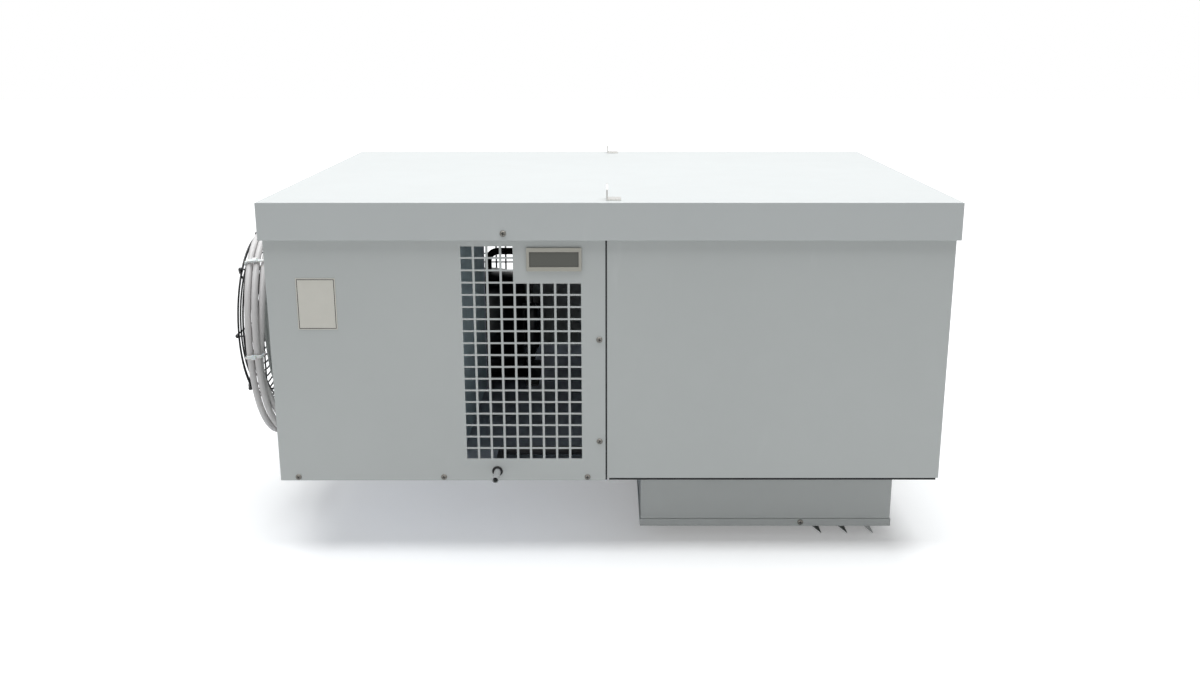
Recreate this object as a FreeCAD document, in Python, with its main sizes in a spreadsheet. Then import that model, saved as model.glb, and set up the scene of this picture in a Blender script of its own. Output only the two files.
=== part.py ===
import FreeCAD, Part
import math
import os
import re
import Sketcher

# A roof-mounted monoblock refrigeration unit. Millimetres, +X right, +Y back, +Z up.
# The origin is the centre of the ceiling cut-out, at the roof plane that the gasket lies on.

SIZES = {
    # Lid and casing
    "lid_length": 1000,
    "lid_width": 721,
    "lid_lip": 54,
    "lid_end_gap": 4,
    "lid_side_gap": 6,
    "unit_height": 421,
    "sheet_wall": 1,
    "box_length": 498.5,
    "panel_gap": 2.5,
    "panel_fold": 15,
    "end_fold": 18,
    "partition_fold": 26,
    "pan_wall": 1.5,
    "pan_lip": 22,
    # Ceiling plug and its cover
    "plug_length": 392,
    "plug_width": 594,
    "plug_depth": 99,
    "plug_margin": 54,
    "plug_fold": 12,
    "plug_foam": 6,
    "cover_lip": 12,
    "cover_clearance": 0.2,
    "gasket_height": 4,
    "gasket_inset": 3,
    "foam_top_height": 53,
    # Outlet louvres
    "louvre_first": 66,
    "louvre_pitch": 41.5,
    "louvre_count": 3,
    "louvre_blade": 36,
    "louvre_length": 552,
    "louvre_angle": 39,
    # Square-hole grilles
    "grille_left": -458.2,
    "grille_bottom": 35.1,
    "grille_pitch_across": 19.5,
    "grille_pitch_up": 18.05,
    "grille_hole_width": 16.2,
    "grille_hole_height": 15.5,
    "grille_columns": 9,
    "grille_rows": 15,
    "grille_short_columns": 4,
    "grille_short_rows": 3,
    "rear_grille_left": -535,
    "rear_grille_bottom": 125.35,
    "rear_grille_columns": 6,
    "rear_grille_rows": 7,
    # Controller in the front grille panel
    "bezel_width": 79,
    "bezel_height": 34,
    "bezel_depth": 3,
    "bezel_rim": 4,
    "bezel_cheek": 6,
    "bezel_x": -324.5,
    "bezel_z": 338.7,
    "display_wall": 1.5,
    "display_clearance": 0.2,
    "controller_height": 28.6,
    "controller_depth": 55,
    # Drain
    "drain_x": -413.4,
    "drain_z": 14.2,
    "drain_hole_radius": 7.2,
    "drain_hole_lift": 1.5,
    "drain_radius": 5,
    "drain_bore": 4,
    "drain_reach": 34,
    "hose_radius": 7,
    "hose_y": -262,
    "passage_clearance": 0.5,
    "drain_pan_left": 24,
    "drain_pan_right": 104,
    "drain_pan_lip": 20,
    "divider_x": 40,
    # Lifting lugs
    "lug_wall": 2,
    "lug_width": 26,
    "lug_height": 22,
    "lug_foot": 20,
    "lug_hole_radius": 5,
    "lug_corner": 6,
    "lug_front_y": -326,
    "lug_rear_y": 341,
    # Fan in the left end panel
    "fan_y": -114.7,
    "fan_z": 198,
    "collar_radius": 129,
    "collar_reach": 37.6,
    "collar_rim_width": 11,
    "collar_wall": 1.5,
    "guard_over_collar": 3.5,
    "guard_reach": 86,
    "guard_wire": 3,
    "guard_rings": 2,
    "guard_ring_sides": 36,
    "guard_ring_pitch": 50,
    "guard_arms": 6,
    "guard_hub": 32,
    "fan_tip_clearance": 4,
    "fan_hub": 44,
    "fan_depth": 70,
    "fan_blades": 5,
    # Two fans over the plug cover
    "chamber_fan_x": -78,
    "chamber_fan_y": 142,
    "throat_radius": 101,
    "bracket_height": 3,
    "bracket_width": 14,
    "chamber_fan_tip": 97,
    "chamber_fan_hub": 34,
    "chamber_fan_depth": 40,
    "chamber_fan_blades": 4,
    # Motor parts that all three fans share
    "motor_gap": 2,
    "motor_cap": 6,
    "spindle_radius": 6,
    "running_clearance": 0.05,
    "blade_wall": 1.6,
    "blade_camber": 6,
    # Finned coils
    "condenser_right": -477,
    "condenser_thickness": 58,
    "condenser_front": -335,
    "condenser_length": 437,
    "condenser_height": 342,
    "condenser_lift": 6.5,
    "chamber_coil_left": 32,
    "chamber_coil_thickness": 64,
    "chamber_coil_length": 492,
    "chamber_coil_height": 320,
    "chamber_coil_lift": 2,
    "fin_pitch": 20,
    "fin_gap": 15,
    "fin_groove": 8,
    "chamber_fin_pitch": 28,
    "chamber_fin_gap": 22,
    "tube_plate": 1.5,
    "tube_plate_edge": 2,
    # Compressor
    "compressor_x": -485,
    "compressor_y": 205,
    "compressor_radius": 77.5,
    "compressor_top": 208,
    "compressor_dome": 30,
    "compressor_crown": 64.5,
    "foot_wall": 3,
    "foot_height": 19,
    "foot_side": 168,
    "foot_toe": 20,
    "terminal_width": 56,
    "terminal_height": 60,
    "terminal_depth": 26,
    "terminal_lift": 70,
    "terminal_clearance": 0.3,
    # Pipes
    "suction_radius": 7,
    "suction_y": 262,
    "suction_z": 236,
    "suction_end_x": 64,
    "pipe_radius": 5,
    "pipe_sides": 12,
    "discharge_z": 322,
    "discharge_offset": 45,
    "liquid_z": 60,
    "drier_x": -390,
    "drier_y": 118,
    "drier_radius": 14,
    "drier_neck": 5,
    "drier_length": 110,
    "drier_neck_length": 14,
    "capillary_radius": 2.5,
    "capillary_z": 290,
    # Electrical box on the partition
    "electrical_depth": 80,
    "electrical_width": 180,
    "electrical_height": 140,
    "electrical_y": 150,
    "electrical_z": 262,
    # Mains cable
    "cable_radius": 5,
    "cable_turn_slack": 33.5,
    "cable_turn_width": 40,
    "cable_turn_depth": 12,
    "cable_rest_clearance": 2.2,
    "cable_turn_lean": 4.2,
    "cable_turn_sides": 36,
    "cable_turn_stand": 47.2,
    "gland_angle": -28,
    "gland_radius": 13,
    "gland_nut": 7,
    "gland_cap_radius": 9,
    "gland_clearance": 0.6,
    "tail_offset": 12,
    "tail_length": 100,
    "plug_body_width": 36,
    "plug_body_depth": 24,
    "plug_body_length": 36,
    "plug_neck": 16,
    "plug_neck_length": 14,
    "plug_blade": 6,
    "plug_blade_wall": 1.6,
    "plug_blade_length": 17,
    "plug_blade_spread": 13,
    "tie_wall": 1.2,
    "tie_width": 5,
    "tie_clearance": 0.2,
}

PLACES = {
    "body_length": "lid_length - 2 * (sheet_wall + lid_end_gap)",
    "body_width": "lid_width - 2 * (sheet_wall + lid_side_gap)",
    "body_right": "plug_length / 2 + plug_margin",
    "body_left": "body_right - body_length",
    "body_front": "0 - body_width / 2",
    "body_rear": "body_width / 2",
    "seam": "body_right - box_length",
    "left_panel_right": "seam - panel_gap",
    "lid_underside": "unit_height - sheet_wall",
    "fold_underside": "lid_underside - sheet_wall",
    "inner_front": "body_front + sheet_wall",
    "inner_rear": "body_rear - sheet_wall",
    "inner_left": "body_left + sheet_wall",
    "inner_right": "body_right - sheet_wall",
    "partition_face": "seam - sheet_wall",
    "pan_front": "inner_front + sheet_wall",
    "pan_rear": "inner_rear - sheet_wall",
    "floor_top": "gasket_height + sheet_wall",
    "foam_bottom": "floor_top + sheet_wall",
    "foam_top_bottom": "fold_underside - foam_top_height",
    "plug_side": "plug_length / 2",
    "plug_front": "0 - plug_width / 2",
    "plug_rear": "plug_width / 2",
    "cover_floor": "sheet_wall - plug_depth",
    "liner_side": "plug_side - sheet_wall - plug_foam",
    "liner_rear": "plug_rear - sheet_wall - plug_foam",
    "guard_ring_x": "body_left - guard_reach + guard_wire",
    "fan_hub_x": "guard_ring_x + guard_wire",
    "chamber_fan_z": "cover_floor + bracket_height",
    "condenser_left": "condenser_right - condenser_thickness",
    "condenser_rear": "condenser_front + condenser_length",
    "condenser_bottom": "pan_wall + condenser_lift",
    "condenser_top": "condenser_bottom + condenser_height",
    "condenser_plate_top": "condenser_top + tube_plate_edge",
    "drain_pan_bottom": "floor_top - sheet_wall",
    "chamber_coil_bottom": "drain_pan_bottom + drain_pan_lip + chamber_coil_lift",
    "chamber_coil_top": "chamber_coil_bottom + chamber_coil_height",
    "chamber_plate_rear": "chamber_coil_length / 2 + tube_plate",
    "compressor_bottom": "pan_wall + foot_height",
    "discharge_x": "condenser_right - condenser_thickness / 2",
    "liquid_x": "condenser_right - condenser_thickness / 4",
    "drier_bottom": "liquid_z - pipe_radius",
    "drier_top": "drier_bottom + drier_length",
    "collar_rim": "collar_radius + collar_rim_width",
    "guard_radius": "collar_radius + guard_over_collar",
    "fan_tip": "collar_radius - fan_tip_clearance",
    "cable_turn_x": "body_left - cable_turn_stand",
    "cable_turn_radius": "guard_radius + cable_turn_slack",
    "cable_outer_radius": "cable_turn_radius + cable_turn_depth / 2",
    "cable_inner_radius": "cable_turn_radius - cable_turn_depth / 2",
    "rest_radius": "guard_radius + 1.5 * guard_wire",
    "rest_rise": "rest_radius * cos(180 deg / guard_arms)",
    "rest_spread": "rest_radius * sin(180 deg / guard_arms)",
    "cable_reach": "cable_inner_radius - cable_rest_clearance",
    "cable_turn_z": "fan_z + rest_rise - sqrt(cable_reach * cable_reach - rest_spread * rest_spread)",
    "gland_drop": "cable_turn_radius * sin(gland_angle * 1 deg)",
    "gland_y": "fan_y + cable_turn_radius * cos(gland_angle * 1 deg)",
    "gland_z": "cable_turn_z + gland_drop",
    "turns_side_x": "cable_turn_x - gland_drop * sin(cable_turn_lean * 1 deg) + cable_turn_width / 2",
    "gland_reach": "body_left - turns_side_x - gland_clearance",
}

document = FreeCAD.newDocument("MonoblockUnit")
sheet = document.addObject("Spreadsheet::Sheet", "Sizes")
nodes = {}


def fill_sheet():
    for row, (alias, value) in enumerate(SIZES.items(), start=1):
        sheet.set(f"A{row}", alias)
        sheet.set(f"B{row}", str(value))
        sheet.setAlias(f"B{row}", alias)
    document.recompute()


def formula(text):
    """Rewrite a formula in plain size and place names as one that reads the sheet."""

    def swap(match):
        word = match.group()
        if word in SIZES:
            return f"Sizes.{word}"
        if word in PLACES:
            return f"({formula(PLACES[word])})"
        return word

    return re.sub(r"[a-z]\w*", swap, str(text))


def number(text):
    """The value that a formula has now."""
    return float(sheet.evalExpression(formula(text)))


def point(x, y, z):
    return FreeCAD.Vector(number(x), number(y), number(z))


def place(item, x=0, y=0, z=0, turn=None):
    """Put an object at formulas for its three coordinates, after an optional turn (axis, degrees)."""
    if turn:
        item.Placement = FreeCAD.Placement(FreeCAD.Vector(), FreeCAD.Rotation(*turn))
    for axis, text in zip("xyz", (x, y, z)):
        item.setExpression(f"Placement.Base.{axis}", formula(text))
    return item


def node(item, name):
    """Name an object as the sub-part that is written to its own file."""
    item.Label = name
    nodes[name] = item
    return item


# Part primitives


def box(name, x, y, z):
    """A block between pairs of formulas along each axis."""
    item = document.addObject("Part::Box", name)
    for side, (start, end) in zip(("Length", "Width", "Height"), (x, y, z)):
        item.setExpression(side, formula(f"({end}) - ({start})"))
    return place(item, x[0], y[0], z[0])


TURN_TO = {
    "x": (FreeCAD.Vector(0, 1, 0), 90),
    "y": (FreeCAD.Vector(1, 0, 0), -90),
    "z": None,
}


def rod(name, radius, length, x, y, z, along="z"):
    """A cylinder that starts at a point and runs along +x, +y or +z."""
    item = document.addObject("Part::Cylinder", name)
    item.setExpression("Radius", formula(radius))
    item.setExpression("Height", formula(length))
    return place(item, x, y, z, TURN_TO[along])


def cut(name, base, tool):
    item = document.addObject("Part::Cut", name)
    item.Base = base
    item.Tool = tool
    return item


def fused(name, pieces):
    item = document.addObject("Part::MultiFuse", name)
    item.Shapes = pieces
    item.Refine = True
    return item


def group(name, pieces):
    """Separate solids that share one sub-part."""
    item = document.addObject("Part::Compound", name)
    item.Links = pieces
    return item


def prism(name, radius, heights, sides):
    """A regular prism about z, with a corner on the x axis."""
    item = document.addObject("Part::Prism", name)
    item.setExpression("Circumradius", formula(radius))
    item.setExpression("Polygon", formula(sides))
    item.setExpression("Height", formula(f"({heights[1]}) - ({heights[0]})"))
    return place(item, z=heights[0])


def flat_sided_ring(name, wall, heights, sides):
    """A ring about z of many flat sides, which lies between an inner and an outer radius."""
    inner, outer = wall
    hollow = prism(f"{name}Inside", f"({inner}) / cos(180 deg / {sides})", heights, sides)
    return cut(name, prism(f"{name}Outside", outer, heights, sides), hollow)


def shape_feature(name, shape):
    item = document.addObject("Part::Feature", name)
    item.Shape = shape
    return item


# Part Design bodies

NORMAL_SENSE = {"XY": 1, "XZ": -1, "YZ": 1}


def body(name):
    return document.addObject("PartDesign::Body", name)


def new_sketch(owner, plane, at):
    """An empty sketch on an origin plane of its body, at a formula for the height along its axis."""
    sketch = owner.newObject("Sketcher::SketchObject", f"{owner.Name}Sketch")
    support = next(f for f in owner.Origin.OriginFeatures if f.Role == f"{plane}_Plane")
    sketch.AttachmentSupport = (support, [""])
    sketch.MapMode = "FlatFace"
    sketch.setExpression("AttachmentOffset.Base.z", formula(f"{NORMAL_SENSE[plane]} * ({at})"))
    return sketch


def add_outline(sketch, corners):
    """A closed outline whose corners are pairs of formulas, each tied to the sheet."""
    first = sketch.GeometryCount
    values = [FreeCAD.Vector(number(across), number(up), 0) for across, up in corners]
    count = len(corners)
    for i in range(count):
        sketch.addGeometry(Part.LineSegment(values[i], values[(i + 1) % count]), False)
    for i in range(count):
        after = first + (i + 1) % count
        sketch.addConstraint(Sketcher.Constraint("Coincident", first + i, 2, after, 1))
    for i, (across, up) in enumerate(corners):
        for kind, text, value in (("DistanceX", across, values[i].x), ("DistanceY", up, values[i].y)):
            index = sketch.addConstraint(Sketcher.Constraint(kind, -1, 1, first + i, 1, value))
            sketch.setExpression(f"Constraints[{index}]", formula(text))


def add_circle(sketch, across, up, radius):
    centre = FreeCAD.Vector(number(across), number(up), 0)
    circle = sketch.addGeometry(Part.Circle(centre, FreeCAD.Vector(0, 0, 1), number(radius)), False)
    for kind, text, value in (("DistanceX", across, centre.x), ("DistanceY", up, centre.y)):
        index = sketch.addConstraint(Sketcher.Constraint(kind, -1, 1, circle, 3, value))
        sketch.setExpression(f"Constraints[{index}]", formula(text))
    index = sketch.addConstraint(Sketcher.Constraint("Radius", circle, number(radius)))
    sketch.setExpression(f"Constraints[{index}]", formula(radius))


def rectangle(across, up):
    """The four corners between two pairs of formulas."""
    return [(across[0], up[0]), (across[1], up[0]), (across[1], up[1]), (across[0], up[1])]


def pad(owner, plane, corners, start, end):
    """Extrude an outline from one height along the plane's axis to another."""
    sketch = new_sketch(owner, plane, start)
    add_outline(sketch, corners)
    feature = owner.newObject("PartDesign::Pad", f"{owner.Name}Pad")
    feature.Profile = sketch
    feature.Reversed = NORMAL_SENSE[plane] < 0
    feature.setExpression("Length", formula(f"({end}) - ({start})"))
    return feature


def pocket(owner, plane, start, end, outlines=(), circles=()):
    """Cut outlines and circles from one height along the plane's axis to another."""
    sketch = new_sketch(owner, plane, start)
    for corners in outlines:
        add_outline(sketch, corners)
    for across, up, radius in circles:
        add_circle(sketch, across, up, radius)
    feature = owner.newObject("PartDesign::Pocket", f"{owner.Name}Pocket")
    feature.Profile = sketch
    feature.Reversed = NORMAL_SENSE[plane] > 0
    feature.setExpression("Length", formula(f"({end}) - ({start})"))
    return feature


def revolve(owner, plane, corners, axis):
    """Turn an outline once round a sketch axis, H_Axis or V_Axis."""
    sketch = new_sketch(owner, plane, "0")
    add_outline(sketch, corners)
    feature = owner.newObject("PartDesign::Revolution", f"{owner.Name}Turned")
    feature.Profile = sketch
    feature.ReferenceAxis = (sketch, [axis])
    feature.Angle = 360
    return feature


def row_of(owner, axis, pitch, count):
    """One line of a pattern along an axis of the first sketch that it repeats."""
    feature = owner.newObject("PartDesign::LinearPattern", f"{owner.Name}Row")
    sketch = axis[0]
    feature.Direction = (sketch, [axis[1]])
    feature.setExpression("Length", formula(f"({pitch}) * (({count}) - 1)"))
    feature.setExpression("Occurrences", formula(count))
    return feature


def repeat(owner, features, rows):
    """Repeat features along one or two rows, given as (sketch axis, pitch, count)."""
    pattern = owner.newObject("PartDesign::MultiTransform", f"{owner.Name}Pattern")
    sketch = features[0].Profile[0]
    steps = [row_of(owner, (sketch, axis), pitch, count) for axis, pitch, count in rows]
    pattern.Originals = features
    pattern.Transformations = steps
    owner.Tip = pattern
    return pattern


# Pipes


def brazed_pipe(name, route, radius):
    """A pipe of flat sides through a list of points, with a square elbow at each corner."""
    path = Part.makePolygon([point(*corner) for corner in route])
    first = path.OrderedEdges[0]
    start = first.valueAt(first.FirstParameter)
    heading = first.tangentAt(first.FirstParameter)
    side = heading.cross(FreeCAD.Vector(heading.z, heading.x, heading.y))
    spoke = side.normalize() * number(radius)
    sides = int(number("pipe_sides"))
    corners = []
    for turn in range(sides + 1):
        corners.append(start + FreeCAD.Rotation(heading, 360 * turn / sides).multVec(spoke))
    ring = Part.makePolygon(corners)
    return shape_feature(name, path.makePipeShell([ring], True, False, 1))


# Casing


def base_pan():
    pan = body("BasePan")
    across = ("inner_left", "partition_face")
    deep = ("pan_front", "pan_rear")
    pad(pan, "XY", rectangle(across, deep), "0", "pan_lip")
    inside_across = ("inner_left + pan_wall", "partition_face - pan_wall")
    inside_deep = ("pan_front + pan_wall", "pan_rear - pan_wall")
    pocket(pan, "XY", "pan_wall", "pan_lip", [rectangle(inside_across, inside_deep)])
    half = "(hose_radius + passage_clearance)"
    up = (f"drain_z - {half}", "pan_lip + 1")
    front_notch = rectangle((f"drain_x - {half}", f"drain_x + {half}"), up)
    pocket(pan, "XZ", "pan_front", "pan_front + pan_wall", [front_notch])
    side_notch = rectangle((f"hose_y - {half}", f"hose_y + {half}"), up)
    pocket(pan, "YZ", "partition_face - pan_wall", "partition_face", [side_notch])
    return node(pan, "base_pan")


def folded_panel(name, left, right, bottom, front):
    """A flat casing panel with its top edge folded in under the lid."""
    panel = body(name)
    face, back, fold_end = "body_front", "inner_front", "body_front + panel_fold"
    if not front:
        face, back, fold_end = "body_rear", "inner_rear", "body_rear - panel_fold"
    section = [
        (face, bottom),
        (face, "lid_underside"),
        (fold_end, "lid_underside"),
        (fold_end, "fold_underside"),
        (back, "fold_underside"),
        (back, bottom),
    ]
    pad(panel, "YZ", section, left, right)
    return panel


def grille(panel, face, back, left, bottom, columns, rows):
    """Square holes in rows and columns, through a panel's sheet."""
    hole = rectangle((left, f"{left} + grille_hole_width"), (bottom, f"{bottom} + grille_hole_height"))
    first = pocket(panel, "XZ", face, back, [hole])
    across = ("H_Axis", "grille_pitch_across", columns)
    up = ("V_Axis", "grille_pitch_up", rows)
    return repeat(panel, [first], [across, up])


def front_grille_panel():
    panel = folded_panel("FrontGrillePanel", "body_left", "left_panel_right", "0", front=True)
    face = "body_front"
    back = "inner_front"
    grille(panel, face, back, "grille_left", "grille_bottom", "grille_columns", "grille_rows")
    short_bottom = "(grille_bottom + grille_rows * grille_pitch_up)"
    grille(panel, face, back, "grille_left", short_bottom, "grille_short_columns", "grille_short_rows")
    half_width = "(bezel_width / 2 - bezel_rim)"
    half_height = "(controller_height / 2 + display_clearance)"
    window = rectangle(
        (f"bezel_x - {half_width}", f"bezel_x + {half_width}"),
        (f"bezel_z - {half_height}", f"bezel_z + {half_height}"),
    )
    drain_hole = ("drain_x", "drain_z + drain_hole_lift", "drain_hole_radius")
    pocket(panel, "XZ", face, back, [window], [drain_hole])
    return node(panel, "front_grille_panel")


def rear_grille_panel():
    panel = folded_panel("RearGrillePanel", "body_left", "left_panel_right", "0", front=False)
    columns = "rear_grille_columns"
    rows = "rear_grille_rows"
    grille(panel, "inner_rear", "body_rear", "rear_grille_left", "rear_grille_bottom", columns, rows)
    return node(panel, "rear_grille_panel")


def left_end_panel():
    """The end panel with its side folds and the pressed collar that the fan runs in."""
    panel = body("LeftEndPanel")
    section = [
        ("body_left", "inner_front"),
        ("inner_left + end_fold", "inner_front"),
        ("inner_left + end_fold", "pan_front"),
        ("inner_left", "pan_front"),
        ("inner_left", "pan_rear"),
        ("inner_left + end_fold", "pan_rear"),
        ("inner_left + end_fold", "inner_rear"),
        ("body_left", "inner_rear"),
    ]
    pad(panel, "XY", section, "0", "fold_underside")
    collar = [
        ("inner_left", "collar_radius"),
        ("body_left - collar_reach", "collar_radius"),
        ("body_left - collar_reach", "collar_rim"),
        ("body_left - collar_reach + collar_wall", "collar_rim"),
        ("body_left - collar_reach + collar_wall", "collar_radius + collar_wall"),
        ("inner_left", "collar_radius + collar_wall"),
    ]
    sketch = new_sketch(panel, "XZ", "fan_y")
    raised = [(across, f"fan_z + {up}") for across, up in collar]
    add_outline(sketch, raised)
    middle = sketch.addGeometry(
        Part.LineSegment(
            FreeCAD.Vector(number("body_left"), number("fan_z"), 0),
            FreeCAD.Vector(number("inner_left"), number("fan_z"), 0),
        ),
        True,
    )
    for end, text in ((1, "body_left"), (2, "inner_left")):
        across = sketch.addConstraint(Sketcher.Constraint("DistanceX", -1, 1, middle, end, number(text)))
        sketch.setExpression(f"Constraints[{across}]", formula(text))
        up = sketch.addConstraint(Sketcher.Constraint("DistanceY", -1, 1, middle, end, number("fan_z")))
        sketch.setExpression(f"Constraints[{up}]", formula("fan_z"))
    turned = panel.newObject("PartDesign::Revolution", "CollarTurned")
    turned.Profile = sketch
    turned.ReferenceAxis = (sketch, ["Axis0"])
    turned.Angle = 360
    throat = ("fan_y", "fan_z", "collar_radius")
    pocket(panel, "YZ", "body_left", "inner_left", circles=[throat])
    return node(panel, "left_end_panel")


def partition_skin():
    """The steel skin between the condensing side and the insulated box, folded at both sides."""
    skin = body("PartitionSkin")
    fold = "partition_face - partition_fold"
    section = [
        ("seam", "inner_front"),
        ("seam", "inner_rear"),
        (fold, "inner_rear"),
        (fold, "pan_rear"),
        ("partition_face", "pan_rear"),
        ("partition_face", "pan_front"),
        (fold, "pan_front"),
        (fold, "inner_front"),
    ]
    pad(skin, "XY", section, "0", "fold_underside")
    pocket(skin, "YZ", "partition_face", "seam", passages())
    return node(skin, "partition_skin")


def passages():
    """Rectangular cut-outs where the drain hose and the suction line leave the box."""
    hose = "(hose_radius + passage_clearance)"
    line = "(suction_radius + passage_clearance)"
    return [
        rectangle((f"hose_y - {hose}", f"hose_y + {hose}"), (f"drain_z - {hose}", f"drain_z + {hose}")),
        rectangle(
            (f"suction_y - {line}", f"suction_y + {line}"),
            (f"suction_z - {line}", f"suction_z + {line}"),
        ),
    ]


def right_hand_panels():
    bottom = "gasket_height"
    front = folded_panel("FrontRightPanel", "seam", "body_right", bottom, front=True)
    node(front, "front_right_panel")
    rear = folded_panel("RearRightPanel", "seam", "body_right", bottom, front=False)
    node(rear, "rear_right_panel")
    end = box(
        "RightEndPanel",
        ("inner_right", "body_right"),
        ("inner_front", "inner_rear"),
        (bottom, "fold_underside"),
    )
    node(end, "right_end_panel")


def framed_plate(name, across, deep, heights, hole_across, hole_deep):
    """A flat frame round an opening."""
    plate = body(name)
    pad(plate, "XY", rectangle(across, deep), *heights)
    pocket(plate, "XY", *heights, [rectangle(hole_across, hole_deep)])
    return plate


def box_floor_and_gasket():
    plug_across = ("0 - plug_side", "plug_side")
    plug_deep = ("plug_front", "plug_rear")
    floor = framed_plate(
        "BoxFloor",
        ("seam", "inner_right"),
        ("inner_front", "inner_rear"),
        ("gasket_height", "floor_top"),
        plug_across,
        plug_deep,
    )
    node(floor, "box_floor")
    gasket = framed_plate(
        "RoofGasket",
        ("seam + gasket_inset", "body_right - gasket_inset"),
        ("body_front + gasket_inset", "body_rear - gasket_inset"),
        ("0", "gasket_height"),
        plug_across,
        plug_deep,
    )
    node(gasket, "roof_gasket")


def lid():
    """One tray over both halves, with its lip turned in at the bottom edge."""
    cover = body("Lid")
    right = "(body_right + lid_end_gap + sheet_wall)"
    left = f"({right} - lid_length)"
    rear = "lid_width / 2"
    lip = "(unit_height - lid_lip)"
    pad(cover, "XY", rectangle((left, right), (f"0 - {rear}", rear)), lip, "unit_height")
    inside_across = (f"{left} + sheet_wall", f"{right} - sheet_wall")
    inside_deep = (f"sheet_wall - {rear}", f"{rear} - sheet_wall")
    inside = [rectangle(inside_across, inside_deep)]
    pocket(cover, "XY", f"{lip} + sheet_wall", "lid_underside", inside)
    turned_in = rectangle(("body_left - 0.5", "body_right + 0.5"), ("body_front - 0.5", "body_rear + 0.5"))
    pocket(cover, "XY", lip, f"{lip} + sheet_wall", [turned_in])
    return node(cover, "lid")


def lifting_lug(name, across_y):
    """An upright ear with an eye, on a foot that lies on the lid."""
    lug = body(name)
    near = f"({across_y} - lug_width / 2)"
    far = f"({across_y} + lug_width / 2)"
    top = "unit_height + lug_height"
    ear = [
        (near, "unit_height"),
        (far, "unit_height"),
        (far, f"{top} - lug_corner"),
        (f"{far} - lug_corner", top),
        (f"{near} + lug_corner", top),
        (near, f"{top} - lug_corner"),
    ]
    pad(lug, "YZ", ear, "seam - lug_wall / 2", "seam + lug_wall / 2")
    foot = rectangle(("seam", "seam + lug_foot"), (near, far))
    pad(lug, "XY", foot, "unit_height", "unit_height + lug_wall")
    eye = (across_y, "unit_height + lug_height - lug_hole_radius - 4", "lug_hole_radius")
    pocket(lug, "YZ", "seam - lug_wall / 2", "seam + lug_wall / 2", circles=[eye])
    return lug


def lifting_lugs():
    pair = [lifting_lug("FrontLug", "lug_front_y"), lifting_lug("RearLug", "lug_rear_y")]
    node(group("LiftingLugs", pair), "lifting_lugs")


# Insulated box and plug


def foam_walls():
    top = "fold_underside"
    across = ("seam", "inner_right")
    front = box("FoamFront", across, ("inner_front", "0 - liner_rear"), ("foam_bottom", top))
    rear = box("FoamRear", across, ("liner_rear", "inner_rear"), ("foam_bottom", top))
    low = ("foam_bottom", "foam_top_bottom")
    deep = ("0 - liner_rear", "liner_rear")
    right = box("FoamRight", ("liner_side", "inner_right"), deep, low)
    left = body("FoamLeft")
    pad(left, "YZ", rectangle(deep, low), "seam", "0 - liner_side")
    pocket(left, "YZ", "seam", "0 - liner_side", passages())
    node(group("FoamWalls", [front, rear, right, left]), "foam_walls")
    cap = box("FoamTop", across, deep, ("foam_top_bottom", top))
    node(cap, "foam_top")


def chamber_liner():
    """The inner tub of the box, of flat sheets, open at the bottom and reaching down into the plug."""
    across = ("0 - liner_side", "liner_side")
    deep = ("sheet_wall - liner_rear", "liner_rear - sheet_wall")
    tall = ("cover_floor", "foam_top_bottom - sheet_wall")
    left_wall = ("0 - liner_side", "sheet_wall - liner_side")
    sheets = [
        box("LinerFront", across, ("0 - liner_rear", "sheet_wall - liner_rear"), tall),
        box("LinerRear", across, ("liner_rear - sheet_wall", "liner_rear"), tall),
        box("LinerRight", ("liner_side - sheet_wall", "liner_side"), deep, tall),
        box("LinerTop", across, ("0 - liner_rear", "liner_rear"), (tall[1], "foam_top_bottom")),
    ]
    left = body("LinerLeft")
    pad(left, "YZ", rectangle(deep, tall), *left_wall)
    pocket(left, "YZ", *left_wall, passages())
    return node(group("ChamberLiner", sheets + [left]), "chamber_liner")


def plug_sheets():
    """Four plug sheets, each with a top fold that hangs on the box floor."""
    top = "foam_bottom"
    fold = "floor_top"
    ends = []
    for name, sense in (("PlugFrontSheet", "-1"), ("PlugRearSheet", "1")):
        end = body(name)
        section = [
            (f"{sense} * (plug_rear - sheet_wall)", "cover_floor"),
            (f"{sense} * plug_rear", "cover_floor"),
            (f"{sense} * plug_rear", fold),
            (f"{sense} * (plug_rear + plug_fold)", fold),
            (f"{sense} * (plug_rear + plug_fold)", top),
            (f"{sense} * (plug_rear - sheet_wall)", top),
        ]
        pad(end, "YZ", section, "0 - plug_side", "plug_side")
        ends.append(end)
    node(ends[0], "plug_front_sheet")
    node(ends[1], "plug_rear_sheet")
    for name, sense, label in (
        ("PlugLeftSheet", "-1", "plug_left_sheet"),
        ("PlugRightSheet", "1", "plug_right_sheet"),
    ):
        side = body(name)
        section = [
            (f"{sense} * (plug_side - sheet_wall)", "cover_floor"),
            (f"{sense} * plug_side", "cover_floor"),
            (f"{sense} * plug_side", fold),
            (f"{sense} * (plug_side + plug_fold)", fold),
            (f"{sense} * (plug_side + plug_fold)", top),
            (f"{sense} * (plug_side - sheet_wall)", top),
        ]
        pad(side, "XZ", section, "plug_front + sheet_wall", "plug_rear - sheet_wall")
        node(side, label)


def plug_foam():
    heights = ("cover_floor", "foam_bottom")
    inner_side = ("0 - liner_side", "liner_side")
    outer_side = ("sheet_wall - plug_side", "plug_side - sheet_wall")
    slabs = [
        box("PlugFoamFront", outer_side, ("plug_front + sheet_wall", "0 - liner_rear"), heights),
        box("PlugFoamRear", outer_side, ("liner_rear", "plug_rear - sheet_wall"), heights),
    ]
    deep = ("0 - liner_rear", "liner_rear")
    slabs.append(box("PlugFoamLeft", (outer_side[0], inner_side[0]), deep, heights))
    slabs.append(box("PlugFoamRight", (inner_side[1], outer_side[1]), deep, heights))
    node(group("PlugFoam", slabs), "plug_foam")


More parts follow.
